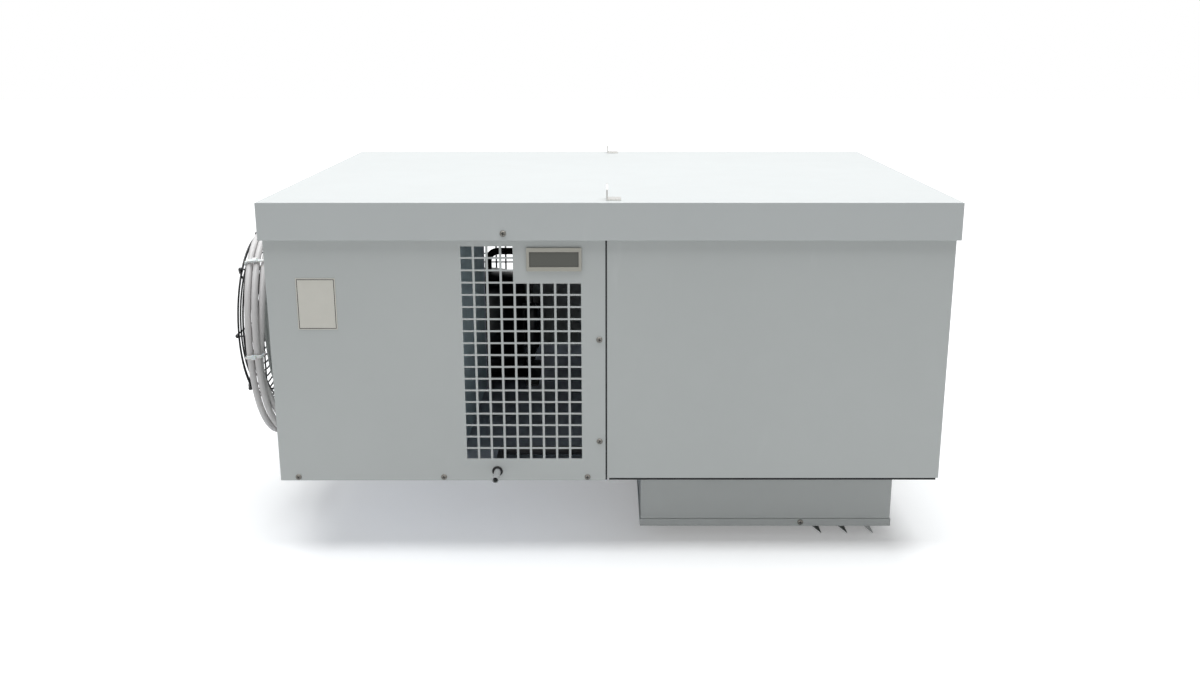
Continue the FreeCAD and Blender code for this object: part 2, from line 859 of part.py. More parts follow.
def plug_bottom_cover():
    """The cover that wraps the plug's lower edge, with two fan throats and a slot for each louvre."""
    cover = body("PlugBottomCover")
    side = "(plug_side + cover_clearance + sheet_wall)"
    rear = "(plug_rear + cover_clearance + sheet_wall)"
    bottom = "(0 - plug_depth)"
    outline = rectangle((f"0 - {side}", side), (f"0 - {rear}", rear))
    pad(cover, "XY", outline, bottom, f"{bottom} + cover_lip")
    inside = rectangle(
        (f"sheet_wall - {side}", f"{side} - sheet_wall"),
        (f"sheet_wall - {rear}", f"{rear} - sheet_wall"),
    )
    pocket(cover, "XY", "cover_floor", f"{bottom} + cover_lip", [inside])
    throats = [
        ("chamber_fan_x", "0 - chamber_fan_y", "throat_radius"),
        ("chamber_fan_x", "chamber_fan_y", "throat_radius"),
    ]
    pocket(cover, "XY", bottom, "cover_floor", circles=throats)
    half = "louvre_length / 2"
    slot_outline = rectangle(("louvre_first", "louvre_first + louvre_blade"), (f"0 - {half}", half))
    slot = pocket(cover, "XY", bottom, "cover_floor", [slot_outline])
    repeat(cover, [slot], [("H_Axis", "louvre_pitch", "louvre_count")])
    return node(cover, "plug_bottom_cover")


def louvre_blades():
    """The blades bent down from the cover at the left edge of each slot."""
    half = "louvre_length / 2"
    lean = "cos(louvre_angle * 1 deg)"
    drop = "sin(louvre_angle * 1 deg)"
    blades = []
    for slot in range(int(number("louvre_count"))):
        edge = f"(louvre_first + {slot} * louvre_pitch)"
        section = [
            (edge, "cover_floor"),
            (f"{edge} + louvre_blade * {lean}", f"cover_floor - louvre_blade * {drop}"),
            (
                f"{edge} + louvre_blade * {lean} - sheet_wall * {drop}",
                f"cover_floor - louvre_blade * {drop} - sheet_wall * {lean}",
            ),
            (edge, f"cover_floor - sheet_wall / {lean}"),
        ]
        blade = body(f"LouvreBlade{slot + 1}")
        pad(blade, "XZ", section, f"0 - {half}", half)
        blades.append(blade)
    node(group("LouvreBlades", blades), "louvre_blades")


# Coils


def fin_block(name, across, front, length, heights, fins_from, fins):
    """A finned block: one groove on each face, repeated along the coil."""
    pitch, gap = fins
    block = body(name)
    left, right = across
    pad(block, "XY", rectangle(across, (front, f"{front} + {length}")), *heights)
    groove = (f"{front} + {fins_from}", f"{front} + {fins_from} + {gap}")
    grooves = [
        rectangle((left, f"{left} + fin_groove"), groove),
        rectangle((f"{right} - fin_groove", right), groove),
    ]
    first = pocket(block, "XY", *heights, grooves)
    count = f"floor(({length} - 2 * {fins_from} - {gap}) / {pitch}) + 1"
    repeat(block, [first], [("V_Axis", pitch, count)])
    return block


def tube_plates(name, across, front, length, heights):
    """The end plates that the coil's tubes pass through."""
    wide = (f"{across[0]} - tube_plate_edge", f"{across[1]} + tube_plate_edge")
    near = box(f"{name}Front", wide, (f"{front} - tube_plate", front), heights)
    far = box(f"{name}Rear", wide, (f"{front} + {length}", f"{front} + {length} + tube_plate"), heights)
    return group(name, [near, far])


def coils():
    across = ("condenser_left", "condenser_right")
    heights = ("condenser_bottom", "condenser_top")
    fins = ("fin_pitch", "fin_gap")
    coil = fin_block("CondenserCoil", across, "condenser_front", "condenser_length", heights, "6.5", fins)
    node(coil, "condenser_coil")
    plates = tube_plates(
        "CondenserPlates",
        across,
        "condenser_front",
        "condenser_length",
        ("pan_wall", "condenser_plate_top"),
    )
    node(plates, "condenser_tube_plates")
    across = ("chamber_coil_left", "chamber_coil_left + chamber_coil_thickness")
    heights = ("chamber_coil_bottom", "chamber_coil_top")
    front = "(0 - chamber_coil_length / 2)"
    fins = ("chamber_fin_pitch", "chamber_fin_gap")
    coil = fin_block("EvaporatorCoil", across, front, "chamber_coil_length", heights, "11", fins)
    node(coil, "evaporator_coil")
    plates = tube_plates(
        "EvaporatorPlates",
        across,
        front,
        "chamber_coil_length",
        ("drain_pan_bottom + sheet_wall", "foam_top_bottom - sheet_wall"),
    )
    node(plates, "evaporator_tube_plates")


def fan_duct():
    """The sheet that closes the space between the condenser coil and the fan, above and behind."""
    duct = body("FanDuct")
    rear = "(condenser_rear + tube_plate)"
    top = "condenser_plate_top"
    section = [
        ("pan_front + pan_wall", top),
        (rear, top),
        (rear, "pan_wall"),
        (f"{rear} + sheet_wall", "pan_wall"),
        (f"{rear} + sheet_wall", f"{top} + sheet_wall"),
        ("pan_front + pan_wall", f"{top} + sheet_wall"),
    ]
    pad(duct, "YZ", section, "inner_left + pan_wall", "condenser_left - tube_plate_edge")
    return node(duct, "fan_duct")


# Fans, drawn about their own axis with +z pointing into the air path


def fan_rotor(name, hub, depth):
    """The turning motor can, closed at its far end, with the bore that runs on the spindle."""
    rotor = body(name)
    bore = "spindle_radius + running_clearance"
    profile = [
        (bore, "motor_gap"),
        (hub, "motor_gap"),
        (hub, f"motor_gap + {depth}"),
        ("0", f"motor_gap + {depth}"),
        ("0", f"motor_gap + {depth} - motor_cap"),
        (bore, f"motor_gap + {depth} - motor_cap"),
    ]
    revolve(rotor, "XZ", profile, "V_Axis")
    return rotor


def fan_blades(name, hub, tip, depth, count):
    """Blades with a crease along the middle, cut to the round of the hub that carries them."""
    hub_radius = number(hub)
    tip_radius = number(tip)
    low = number(f"motor_gap + {depth} * 0.45")
    high = number(f"motor_gap + {depth} * 0.9")
    half = tip_radius * 0.32
    belly = (low + high) / 2 - number("blade_camber")
    lift = FreeCAD.Vector(0, 0, number("blade_wall"))
    start = FreeCAD.Vector(0, -half, low)
    middle = FreeCAD.Vector(0, 0, belly)
    end = FreeCAD.Vector(0, half, high)
    section = Part.makePolygon([start, middle, end, end + lift, middle + lift, start + lift, start])
    reach = math.sqrt(tip_radius**2 - half**2)
    plate = Part.Face(section).extrude(FreeCAD.Vector(reach, 0, 0))
    hub_core = Part.makeCylinder(hub_radius, high * 2)
    blade = plate.cut(hub_core).Solids[0]
    blades = []
    total = int(number(count))
    for turn in range(total):
        feature = shape_feature(f"{name}Blade", blade)
        spin = FreeCAD.Rotation(FreeCAD.Vector(0, 0, 1), 360 * turn / total)
        feature.Placement = FreeCAD.Placement(FreeCAD.Vector(), spin)
        blades.append(feature)
    return blades


def impeller(name, hub, tip, depth, count):
    rotor = fan_rotor(f"{name}Rotor", hub, depth)
    return group(name, [rotor] + fan_blades(name, hub, tip, depth, count))


TOWARDS_BODY = (FreeCAD.Vector(0, 1, 0), 90)


def condenser_fan():
    wheel = impeller("CondenserImpeller", "fan_hub", "fan_tip", "fan_depth", "fan_blades")
    node(place(wheel, "fan_hub_x", "fan_y", "fan_z", TOWARDS_BODY), "condenser_impeller")


def evaporator_fans():
    brackets = []
    for name, sense in (("front", "-1"), ("rear", "1")):
        seat = ("chamber_fan_x", f"{sense} * chamber_fan_y", "chamber_fan_z")
        title = name.capitalize()
        wheel = impeller(
            f"{title}EvaporatorImpeller",
            "chamber_fan_hub",
            "chamber_fan_tip",
            "chamber_fan_depth",
            "chamber_fan_blades",
        )
        node(place(wheel, *seat), f"evaporator_impeller_{name}")
        bracket = fan_bracket(f"{title}FanBracket")
        brackets.append(place(bracket, seat[0], seat[1], "cover_floor"))
    node(group("FanBrackets", brackets), "evaporator_fan_brackets")


def fan_spindles():
    """The fixed spindle of each fan, from its hub plate or bracket into the rotor's bore."""
    outside = rod(
        "CondenserFanSpindle",
        "spindle_radius",
        "motor_gap + fan_depth - 2 * motor_cap",
        "fan_hub_x",
        "fan_y",
        "fan_z",
        "x",
    )
    spindles = [outside]
    for name, sense in (("Front", "-1"), ("Rear", "1")):
        length = "motor_gap + chamber_fan_depth - 2 * motor_cap"
        across = f"{sense} * chamber_fan_y"
        inside = rod(
            f"{name}EvaporatorFanSpindle",
            "spindle_radius",
            length,
            "chamber_fan_x",
            across,
            "chamber_fan_z",
        )
        spindles.append(inside)
    node(group("FanSpindles", spindles), "fan_spindles")


def fan_bracket(name):
    """Crossed flat arms that carry a motor over its throat."""
    reach = "throat_radius + 9"
    half = "bracket_width / 2"
    height = ("0", "bracket_height")
    long_arm = box(f"{name}LongArm", (f"0 - ({reach})", reach), (f"0 - {half}", half), height)
    cross_arm = box(f"{name}CrossArm", (f"0 - {half}", half), (f"0 - ({reach})", reach), height)
    return fused(name, [long_arm, cross_arm])


def fan_guard():
    """A welded wire basket: rings under a hub plate and flat arms, and legs that reach the collar's rim."""
    half = "guard_wire / 2"
    outside = "(guard_radius + guard_wire / 2)"
    pieces = [rod("GuardHub", "guard_hub", "guard_wire", "0", "0", "0")]
    for ring in range(int(number("guard_rings"))):
        middle = f"(guard_radius - {ring} * guard_ring_pitch)"
        wall = (f"{middle} - {half}", f"{middle} + {half}")
        pieces.append(flat_sided_ring("GuardRing", wall, ("0", "guard_wire"), "guard_ring_sides"))
    arms = int(number("guard_arms"))
    for turn in range(arms):
        across = (f"0 - {half}", half)
        arm = box("GuardArm", ("guard_hub / 2", f"{outside} + guard_wire"), across, ("0 - guard_wire", "0"))
        leg_end = "guard_reach - guard_wire - collar_reach"
        leg = box("GuardLeg", (outside, f"{outside} + guard_wire"), across, ("0", leg_end))
        angle = 360 * (turn + 0.5) / arms
        pieces.append(place(group("GuardSpoke", [arm, leg]), turn=(FreeCAD.Vector(0, 0, 1), angle)))
    guard = group("FanGuard", pieces)
    return node(place(guard, "guard_ring_x", "fan_y", "fan_z", TOWARDS_BODY), "condenser_fan_guard")


# Compressor and refrigerant pieces


def compressor():
    shell = body("CompressorShell")
    bottom = "compressor_bottom"
    top = "compressor_top"
    radius = "compressor_radius"
    profile = [
        ("0", bottom),
        (radius, bottom),
        (radius, f"{top} - compressor_dome"),
        ("compressor_crown", top),
        ("0", top),
    ]
    revolve(shell, "XZ", profile, "V_Axis")
    node(place(shell, "compressor_x", "compressor_y", "0"), "compressor_shell")
    foot = body("CompressorFoot")
    half = "foot_side / 2"
    toe = "(foot_side / 2 + foot_toe)"
    section = [
        (f"0 - {toe}", "pan_wall"),
        (f"foot_wall - {half}", "pan_wall"),
        (f"foot_wall - {half}", "compressor_bottom - foot_wall"),
        (f"{half} - foot_wall", "compressor_bottom - foot_wall"),
        (f"{half} - foot_wall", "pan_wall"),
        (toe, "pan_wall"),
        (toe, "pan_wall + foot_wall"),
        (half, "pan_wall + foot_wall"),
        (half, "compressor_bottom"),
        (f"0 - {half}", "compressor_bottom"),
        (f"0 - {half}", "pan_wall + foot_wall"),
        (f"0 - {toe}", "pan_wall + foot_wall"),
    ]
    pad(foot, "XZ", section, f"0 - {half}", half)
    node(place(foot, "compressor_x", "compressor_y", "0"), "compressor_foot")
    half_width = "terminal_width / 2"
    block = box(
        "TerminalBlock",
        ("compressor_x + compressor_radius - 14", "compressor_x + compressor_radius + terminal_depth"),
        (f"compressor_y - {half_width}", f"compressor_y + {half_width}"),
        (f"{bottom} + terminal_lift", f"{bottom} + terminal_lift + terminal_height"),
    )
    core_radius = "compressor_radius + terminal_clearance"
    core = rod("ShellCore", core_radius, "compressor_top", "compressor_x", "compressor_y", "0")
    node(cut("TerminalBox", block, core), "compressor_terminal_box")


def refrigerant_pipes():
    """The brazed circuit outside the coils: three pipes and the filter drier."""
    suction = [
        ("compressor_x", "suction_y", "compressor_top"),
        ("compressor_x", "suction_y", "suction_z"),
        ("suction_end_x", "suction_y", "suction_z"),
        ("suction_end_x", "chamber_plate_rear", "suction_z"),
    ]
    discharge = [
        ("discharge_x", "compressor_y - discharge_offset", "compressor_top"),
        ("discharge_x", "compressor_y - discharge_offset", "discharge_z"),
        ("discharge_x", "condenser_rear + tube_plate", "discharge_z"),
    ]
    liquid = [
        ("liquid_x", "condenser_rear + tube_plate", "liquid_z"),
        ("liquid_x", "drier_y", "liquid_z"),
        ("drier_x - drier_neck", "drier_y", "liquid_z"),
    ]
    capillary = [
        ("drier_x", "drier_y", "drier_top"),
        ("drier_x", "drier_y", "capillary_z"),
        ("drier_x", "suction_y", "capillary_z"),
        ("drier_x", "suction_y", "suction_z + suction_radius"),
    ]
    pieces = [
        brazed_pipe("SuctionLine", suction, "suction_radius"),
        brazed_pipe("DischargePipe", discharge, "pipe_radius"),
        brazed_pipe("LiquidLine", liquid, "pipe_radius"),
        brazed_pipe("CapillaryTube", capillary, "capillary_radius"),
        filter_drier(),
    ]
    node(group("RefrigerantPipes", pieces), "refrigerant_pipes")


def filter_drier():
    drier = body("FilterDrier")
    profile = [
        ("0", "drier_bottom"),
        ("drier_neck", "drier_bottom"),
        ("drier_neck", "drier_bottom + drier_neck_length"),
        ("drier_radius", "drier_bottom + drier_neck_length * 2"),
        ("drier_radius", "drier_top - drier_neck_length"),
        ("drier_neck", "drier_top"),
        ("0", "drier_top"),
    ]
    revolve(drier, "XZ", profile, "V_Axis")
    return place(drier, "drier_x", "drier_y", "0")


def electrical_box():
    housing = box(
        "ElectricalBox",
        ("partition_face - electrical_depth", "partition_face"),
        ("electrical_y", "electrical_y + electrical_width"),
        ("electrical_z", "electrical_z + electrical_height"),
    )
    node(housing, "electrical_box")


# Drain


def drain():
    pan = body("DrainPan")
    across = ("drain_pan_left", "drain_pan_right")
    deep = ("sheet_wall - liner_rear + 2", "liner_rear - sheet_wall - 2")
    heights = ("drain_pan_bottom", "drain_pan_bottom + drain_pan_lip")
    pad(pan, "XY", rectangle(across, deep), *heights)
    inside = rectangle(
        ("drain_pan_left + sheet_wall", "drain_pan_right - sheet_wall"),
        (f"{deep[0]} + sheet_wall", f"{deep[1]} - sheet_wall"),
    )
    pocket(pan, "XY", "drain_pan_bottom + sheet_wall", heights[1], [inside])
    node(pan, "drain_pan")
    divider = box(
        "AirDivider",
        ("divider_x", "divider_x + sheet_wall"),
        ("sheet_wall - liner_rear", "liner_rear - sheet_wall"),
        ("cover_floor", "drain_pan_bottom"),
    )
    node(divider, "air_divider")
    spigot = body("DrainSpigot")
    length = "(drain_reach + sheet_wall)"
    revolve(spigot, "XZ", rectangle(("drain_bore", "drain_radius"), ("0", length)), "V_Axis")
    place(spigot, "drain_x", "body_front - drain_reach", "drain_z", TURN_TO["y"])
    node(spigot, "drain_spigot")
    corners = [
        ("drain_pan_left", "hose_y", "drain_z"),
        ("drain_x", "hose_y", "drain_z"),
        ("drain_x", "inner_front", "drain_z"),
    ]
    node(brazed_pipe("DrainHose", corners, "hose_radius"), "drain_hose")


# Controller


def controller():
    bezel = body("ControllerBezel")
    half_width = "bezel_width / 2"
    half_height = "bezel_height / 2"
    face = "body_front - bezel_depth"
    outer = rectangle(
        (f"bezel_x - {half_width}", f"bezel_x + {half_width}"),
        (f"bezel_z - {half_height}", f"bezel_z + {half_height}"),
    )
    window_across = (f"bezel_x - {half_width} + bezel_rim", f"bezel_x + {half_width} - bezel_rim")
    window_up = (f"bezel_z - {half_height} + bezel_cheek", f"bezel_z + {half_height} - bezel_cheek")
    pad(bezel, "XZ", outer, face, "body_front")
    pocket(bezel, "XZ", face, "body_front", [rectangle(window_across, window_up)])
    node(bezel, "controller_bezel")
    fit = "display_clearance"
    window = box(
        "DisplayWindow",
        (f"{window_across[0]} + {fit}", f"{window_across[1]} - {fit}"),
        ("body_front - display_wall", "body_front"),
        (f"{window_up[0]} + {fit}", f"{window_up[1]} - {fit}"),
    )
    node(window, "display_window")
    housing = box(
        "ControllerBody",
        (f"{window_across[0]} + {fit}", f"{window_across[1]} - {fit}"),
        ("body_front", "body_front + controller_depth"),
        ("bezel_z - controller_height / 2", "bezel_z + controller_height / 2"),
    )
    node(housing, "controller_body")


# Mains cable: from its gland into three tied turns round the guard, and down to its plug


def turns_turn(angle=0):
    """The lean of the turns, after a turn about their own axis."""
    lean = FreeCAD.Rotation(FreeCAD.Vector(0, 1, 0), 90 - number("cable_turn_lean"))
    whole = lean.multiply(FreeCAD.Rotation(FreeCAD.Vector(0, 0, 1), angle))
    return (whole.Axis, math.degrees(whole.Angle))


def place_on_turns(item, angle=0):
    return place(item, "cable_turn_x", "fan_y", "cable_turn_z", turns_turn(angle))


def cable_turns():
    """The closed outer shape of the three turns, which lean in at the bottom."""
    half = "cable_turn_width / 2"
    wall = ("cable_inner_radius", "cable_outer_radius")
    turns = flat_sided_ring("CableTurns", wall, (f"0 - {half}", half), "cable_turn_sides")
    return node(place_on_turns(turns), "mains_cable_turns")


def hexagon(radius):
    """Six corners about the origin."""
    return [(f"{radius} * cos({60 * i} deg)", f"{radius} * sin({60 * i} deg)") for i in range(6)]


def cable_gland():
    gland = body("CableGland")
    pad(gland, "XY", hexagon("gland_radius"), "0", "gland_nut")
    pad(gland, "XY", hexagon("gland_cap_radius"), "gland_nut", "gland_reach")
    place(gland, "body_left", "gland_y", "gland_z", (FreeCAD.Vector(0, 1, 0), -90))
    return node(gland, "cable_gland")


DOWN_THE_TAIL = 180


def tail_place(item):
    """At the rear of the last turn, pointing down along the lean of the turns."""
    turn = (FreeCAD.Vector(0, 1, 0), DOWN_THE_TAIL - number("cable_turn_lean"))
    x = "cable_turn_x + tail_offset * cos(cable_turn_lean * 1 deg)"
    z = "cable_turn_z + tail_offset * sin(cable_turn_lean * 1 deg)"
    return place(item, x, "fan_y + cable_turn_radius", z, turn)


def cable_tail_and_plug(turns):
    """The free end leaves the last turn straight down behind the guard and ends in its plug."""
    tail = document.addObject("Part::Cylinder", "CableTail")
    tail.setExpression("Radius", formula("cable_radius"))
    tail.setExpression("Height", formula("tail_length"))
    tail_place(tail)
    node(cut("CableTailTrimmed", tail, turns), "mains_cable_tail")
    plug = body("PowerPlug")
    half_neck = "plug_neck / 2"
    neck = rectangle((f"0 - {half_neck}", half_neck), (f"0 - {half_neck}", half_neck))
    pad(plug, "XY", neck, "tail_length", "tail_length + plug_neck_length")
    wide = "plug_body_width / 2"
    deep = "plug_body_depth / 2"
    start = "tail_length + plug_neck_length"
    end = f"({start} + plug_body_length)"
    pad(plug, "XY", rectangle((f"0 - {wide}", wide), (f"0 - {deep}", deep)), start, end)
    half_blade = "plug_blade / 2"
    for sense in ("-1", "1"):
        middle = f"{sense} * plug_blade_spread / 2"
        across = (f"{middle} - plug_blade_wall / 2", f"{middle} + plug_blade_wall / 2")
        blade = rectangle(across, (f"0 - {half_blade}", half_blade))
        pad(plug, "XY", blade, end, f"{end} + plug_blade_length")
    node(tail_place(plug), "mains_plug")


TIE_ANGLES = (8, 128, 180)


def cable_ties():
    """Ties round the bundle of turns, at angles from its rear over the top to its front."""
    ties = []
    half = "(cable_turn_width / 2 + tie_clearance)"
    inner = "(cable_inner_radius - tie_clearance)"
    outer = "(cable_outer_radius + tie_clearance)"
    for angle in TIE_ANGLES:
        across = (f"{inner} - tie_wall", f"{outer} + tie_wall")
        width = ("0 - tie_width / 2", "tie_width / 2")
        block = box("TieBlock", across, width, (f"0 - {half} - tie_wall", f"{half} + tie_wall"))
        hollow = box("TieHollow", (inner, outer), ("0 - tie_width", "tie_width"), (f"0 - {half}", half))
        # The turns' own angle starts where their local x points down, so the rear is at 90.
        ties.append(place_on_turns(cut("CableTie", block, hollow), 90 + angle))
    node(group("CableTies", ties), "cable_ties")


def write_nodes():
    document.recompute()
    failed = [item.Name for item in document.Objects if {"Invalid", "Error"} & set(item.State)]
    if failed:
        raise SystemExit(f"objects that failed: {failed}")
    for item in document.Objects:
        if item.TypeId == "PartDesign::Pocket":
            base = item.BaseFeature.Shape.Volume
            if item.Shape.Volume >= base - 1e-6:
                raise SystemExit(f"{item.Name} cuts nothing")
    os.makedirs("parts", exist_ok=True)
    for name, item in nodes.items():
        if item.Shape.isNull() or not item.Shape.isValid() or not item.Shape.Solids:
            raise SystemExit(f"{name} has no valid solid")
        item.Shape.exportStep(f"parts/{name}.step")
        print(name, len(item.Shape.Solids), round(item.Shape.Volume))


fill_sheet()
base_pan()
front_grille_panel()
rear_grille_panel()
left_end_panel()
partition_skin()
right_hand_panels()
box_floor_and_gasket()
lid()
lifting_lugs()
foam_walls()
chamber_liner()
plug_sheets()
plug_foam()
plug_bottom_cover()
louvre_blades()
coils()
fan_duct()
condenser_fan()
evaporator_fans()
fan_spindles()
fan_guard()
compressor()
refrigerant_pipes()
electrical_box()
drain()
controller()
cable_gland()
cable_tail_and_plug(cable_turns())
cable_ties()
write_nodes()
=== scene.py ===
# %% [markdown]
# # A roof-mounted refrigeration unit
#
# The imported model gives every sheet, coil, fan and pipe of the unit in its place. This lesson keeps the
# sheets, gives them real paint, and swaps a few plain solids for finer ones: the mains cable, the wire
# guard, the finned coils, the pipes and the compressor. All lengths are in metres.

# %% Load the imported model
import math

import bmesh
import bpy
from mathutils import Matrix, Vector


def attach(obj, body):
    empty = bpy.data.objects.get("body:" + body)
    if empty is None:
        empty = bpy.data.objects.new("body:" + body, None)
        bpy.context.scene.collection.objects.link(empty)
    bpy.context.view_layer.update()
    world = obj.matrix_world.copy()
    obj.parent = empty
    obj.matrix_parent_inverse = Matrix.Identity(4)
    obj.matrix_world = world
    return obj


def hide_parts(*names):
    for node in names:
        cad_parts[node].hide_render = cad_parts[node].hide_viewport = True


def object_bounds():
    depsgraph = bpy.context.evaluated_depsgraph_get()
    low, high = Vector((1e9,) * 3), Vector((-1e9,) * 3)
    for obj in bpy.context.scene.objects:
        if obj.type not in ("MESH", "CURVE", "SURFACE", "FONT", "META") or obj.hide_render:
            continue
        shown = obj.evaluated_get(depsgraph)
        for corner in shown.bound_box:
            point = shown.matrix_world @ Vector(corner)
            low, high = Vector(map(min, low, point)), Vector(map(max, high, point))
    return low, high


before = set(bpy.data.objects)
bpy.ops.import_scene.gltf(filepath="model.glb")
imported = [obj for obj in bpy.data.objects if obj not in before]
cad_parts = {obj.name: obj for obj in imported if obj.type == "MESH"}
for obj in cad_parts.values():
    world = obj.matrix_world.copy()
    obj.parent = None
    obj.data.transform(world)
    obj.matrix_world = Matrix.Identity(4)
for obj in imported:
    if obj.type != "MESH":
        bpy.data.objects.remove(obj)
cad_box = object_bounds()
print("nodes", len(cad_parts), "box", [round(value, 3) for corner in cad_box for value in corner])

# %% [markdown]
# ## The camera
#
# The photograph was taken from a little above the lid, close enough that the lid's far edge looks shorter
# than its near edge. A camera could be aimed by hand. Here its place, its tilt and its lens were worked out
# from the lid's four corners, so the numbers are written down as they are.

# %% Camera
CAMERA_TILT = 75.1

camera_data = bpy.data.cameras.new("Camera")
camera_data.sensor_width = 36.0
camera_data.lens = 34.2
camera_data.shift_x = -0.0079
camera = bpy.data.objects.new("Camera", camera_data)
bpy.context.collection.objects.link(camera)
camera.location = (-0.245, -1.9587, 0.6501)
camera.rotation_euler = (math.radians(CAMERA_TILT), 0.0, 0.0)
bpy.context.scene.camera = camera
bpy.context.scene.view_settings.view_transform = "Standard"
print("camera looks down by", round(90 - CAMERA_TILT, 1), "degrees")

# %% [markdown]
# ## Adding a piece
#
# Every piece made below rides on a body of the model, gets one of the finishes, and may stand for a plain
# solid, which is then hidden. One helper does all three. The finishes themselves are made later, so it only
# notes which one the piece will get.

# %% Helpers that add pieces
waiting_for_paint = []


def add_piece(item, finish, body="casing", stands_for=()):
    """Put a finished object on its body and note which finish it will get."""
    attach(item, body)
    if stands_for:
        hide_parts(*stands_for)
    waiting_for_paint.append((item, finish))
    return item


def object_from(name, mesh_in_work):
    """Turn a mesh in work into an object of the scene, with its faces looking outwards."""
    bmesh.ops.recalc_face_normals(mesh_in_work, faces=mesh_in_work.faces)
    mesh = bpy.data.meshes.new(name)
    mesh_in_work.to_mesh(mesh)
    mesh_in_work.free()
    item = bpy.data.objects.new(name, mesh)
    bpy.context.collection.objects.link(item)
    return item


def add_block(mesh, low, high, matrix=None):
    """A block between two corners, set down by a matrix."""
    matrix = matrix or Matrix()
    corners = []
    for x in (low[0], high[0]):
        for y in (low[1], high[1]):
            for z in (low[2], high[2]):
                corners.append(mesh.verts.new(matrix @ Vector((x, y, z))))
    for face in ((0, 1, 3, 2), (4, 6, 7, 5), (0, 4, 5, 1), (2, 3, 7, 6), (0, 2, 6, 4), (1, 5, 7, 3)):
        mesh.faces.new([corners[index] for index in face])


def add_turned(mesh, profile, matrix, steps=48):
    """Turn a profile of (radius, height) pairs round the z axis of a matrix."""
    rings = []
    for radius, height in profile:
        ring = []
        for index in range(steps if radius else 1):
            angle = 2 * math.pi * index / steps
            place = Vector((radius * math.cos(angle), radius * math.sin(angle), height))
            ring.append(mesh.verts.new(matrix @ place))
        rings.append(ring)
    for near, far in zip(rings, rings[1:]):
        for index in range(steps):
            after = (index + 1) % steps
            corners = [near[index % len(near)], near[after % len(near)]]
            corners += [far[after % len(far)], far[index % len(far)]]
            mesh.faces.new(list(dict.fromkeys(corners))).smooth = True


def facing(place, direction):
    """The matrix that sets down a piece drawn along z, so that it points in a direction."""
    turn = Vector(direction).to_track_quat("Z", "Y").to_matrix().to_4x4()
    return Matrix.Translation(Vector(place)) @ turn


def round_edges(item, width, segments=2):
    """Break an object's sharp edges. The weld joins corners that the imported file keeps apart."""
    weld = item.modifiers.new("Weld", "WELD")
    weld.merge_threshold = 0.00005
    edges = item.modifiers.new("Edges", "BEVEL")
    edges.width = width
    edges.segments = segments
    edges.limit_method = "ANGLE"
    edges.angle_limit = math.radians(40)


print("helpers ready")

# %% [markdown]
# ## The mains cable
#
# For transport the cable is wound round the fan guard and tied. It leaves its gland low at the back, turns
# down into the coil, goes round almost three times and hangs down behind with its plug. A physics run could
# lay it, but a coil that ties hold is simple to write down: an angle, a distance from the coil's axis and a
# place across its width for each point. One smooth spline follows those points. It swells out where its
# own lead passes under, and at the front the last turn lies behind the other two, as in the photograph.

# %% Where the coil lies
COIL_CENTRE = Vector((-0.7872, -0.1147, 0.1745))
COIL_LEAN = math.radians(4.2)
DOWN = Vector((math.sin(COIL_LEAN), 0.0, -math.cos(COIL_LEAN)))
ACROSS = Vector((math.cos(COIL_LEAN), 0.0, math.sin(COIL_LEAN)))
FRONT = Vector((0.0, -1.0, 0.0))
GLAND_TIP = Vector((-0.7609, 0.0319, 0.0966))
CABLE_RADIUS = 0.005
FIRST_ACROSS = -0.0195
ACROSS_PER_DEGREE = 0.0315 / 1017
FRONT_LEAN = 0.0100
FRONT_LEAN_ANGLE = 110
FRONT_LEAN_WIDTH = 55
LEAD_ANGLE = -27


def on_coil(angle, radius, across):
    """A point by its angle from the bottom over the front, its distance out and its place across."""
    turn = math.radians(angle)
    return COIL_CENTRE + radius * (math.cos(turn) * DOWN + math.sin(turn) * FRONT) + across * ACROSS


def bump(value, middle, width):
    """A smooth rise to 1 at the middle that is gone two widths away."""
    return math.exp(-(((value - middle) / width) ** 2))


def place_across(angle):
    """How far across the coil the cable lies: it creeps to the right, and leans over at the front."""
    lean = FRONT_LEAN * bump(angle % 360, FRONT_LEAN_ANGLE, FRONT_LEAN_WIDTH)
    return FIRST_ACROSS + (angle - LEAD_ANGLE) * ACROSS_PER_DEGREE + lean


# %% Points along the cable
# angle round the coil, distance out and place across, from the gland to the first turn
LEAD = [
    (-61.5, 0.1640, 0.0093),
    (-57.6, 0.1590, -0.0102),
    (-50.9, 0.1610, -0.0215),
    (-42.2, 0.1660, -0.0215),
    (LEAD_ANGLE, 0.1685, FIRST_ACROSS),
]
POINTS_ON_COIL = 45
DEGREES_PER_POINT = 22.5
COIL_RADIUS = 0.1692
WOBBLE = 0.0008
SWELL = 0.0070
SWELL_ANGLE = 303
SWELL_WIDTH = 22
TUCK_ANGLE = 800
TUCK_WIDTH = 40
TUCK_IN = 0.0132
TUCK_ACROSS = 0.0148
TAIL_RADIUS = 0.16595
TAIL_ACROSS = 0.012
TAIL_DROPS = (0.035, 0.072, 0.110)

route = [GLAND_TIP] + [on_coil(*station) for station in LEAD]
for step in range(POINTS_ON_COIL):
    angle = DEGREES_PER_POINT * (step - 0.5)
    radius = COIL_RADIUS + WOBBLE * math.sin(0.9 * step)
    if angle > 180:
        radius += SWELL * bump(angle % 360, SWELL_ANGLE, SWELL_WIDTH)
    behind = bump(angle, TUCK_ANGLE, TUCK_WIDTH)
    radius -= TUCK_IN * behind
    across = place_across(angle) - TUCK_ACROSS * behind**4
    route.append(on_coil(angle, radius, across))
tail_start = on_coil(270, TAIL_RADIUS, TAIL_ACROSS)
route += [tail_start + drop * DOWN for drop in TAIL_DROPS]
print("cable points", len(route))

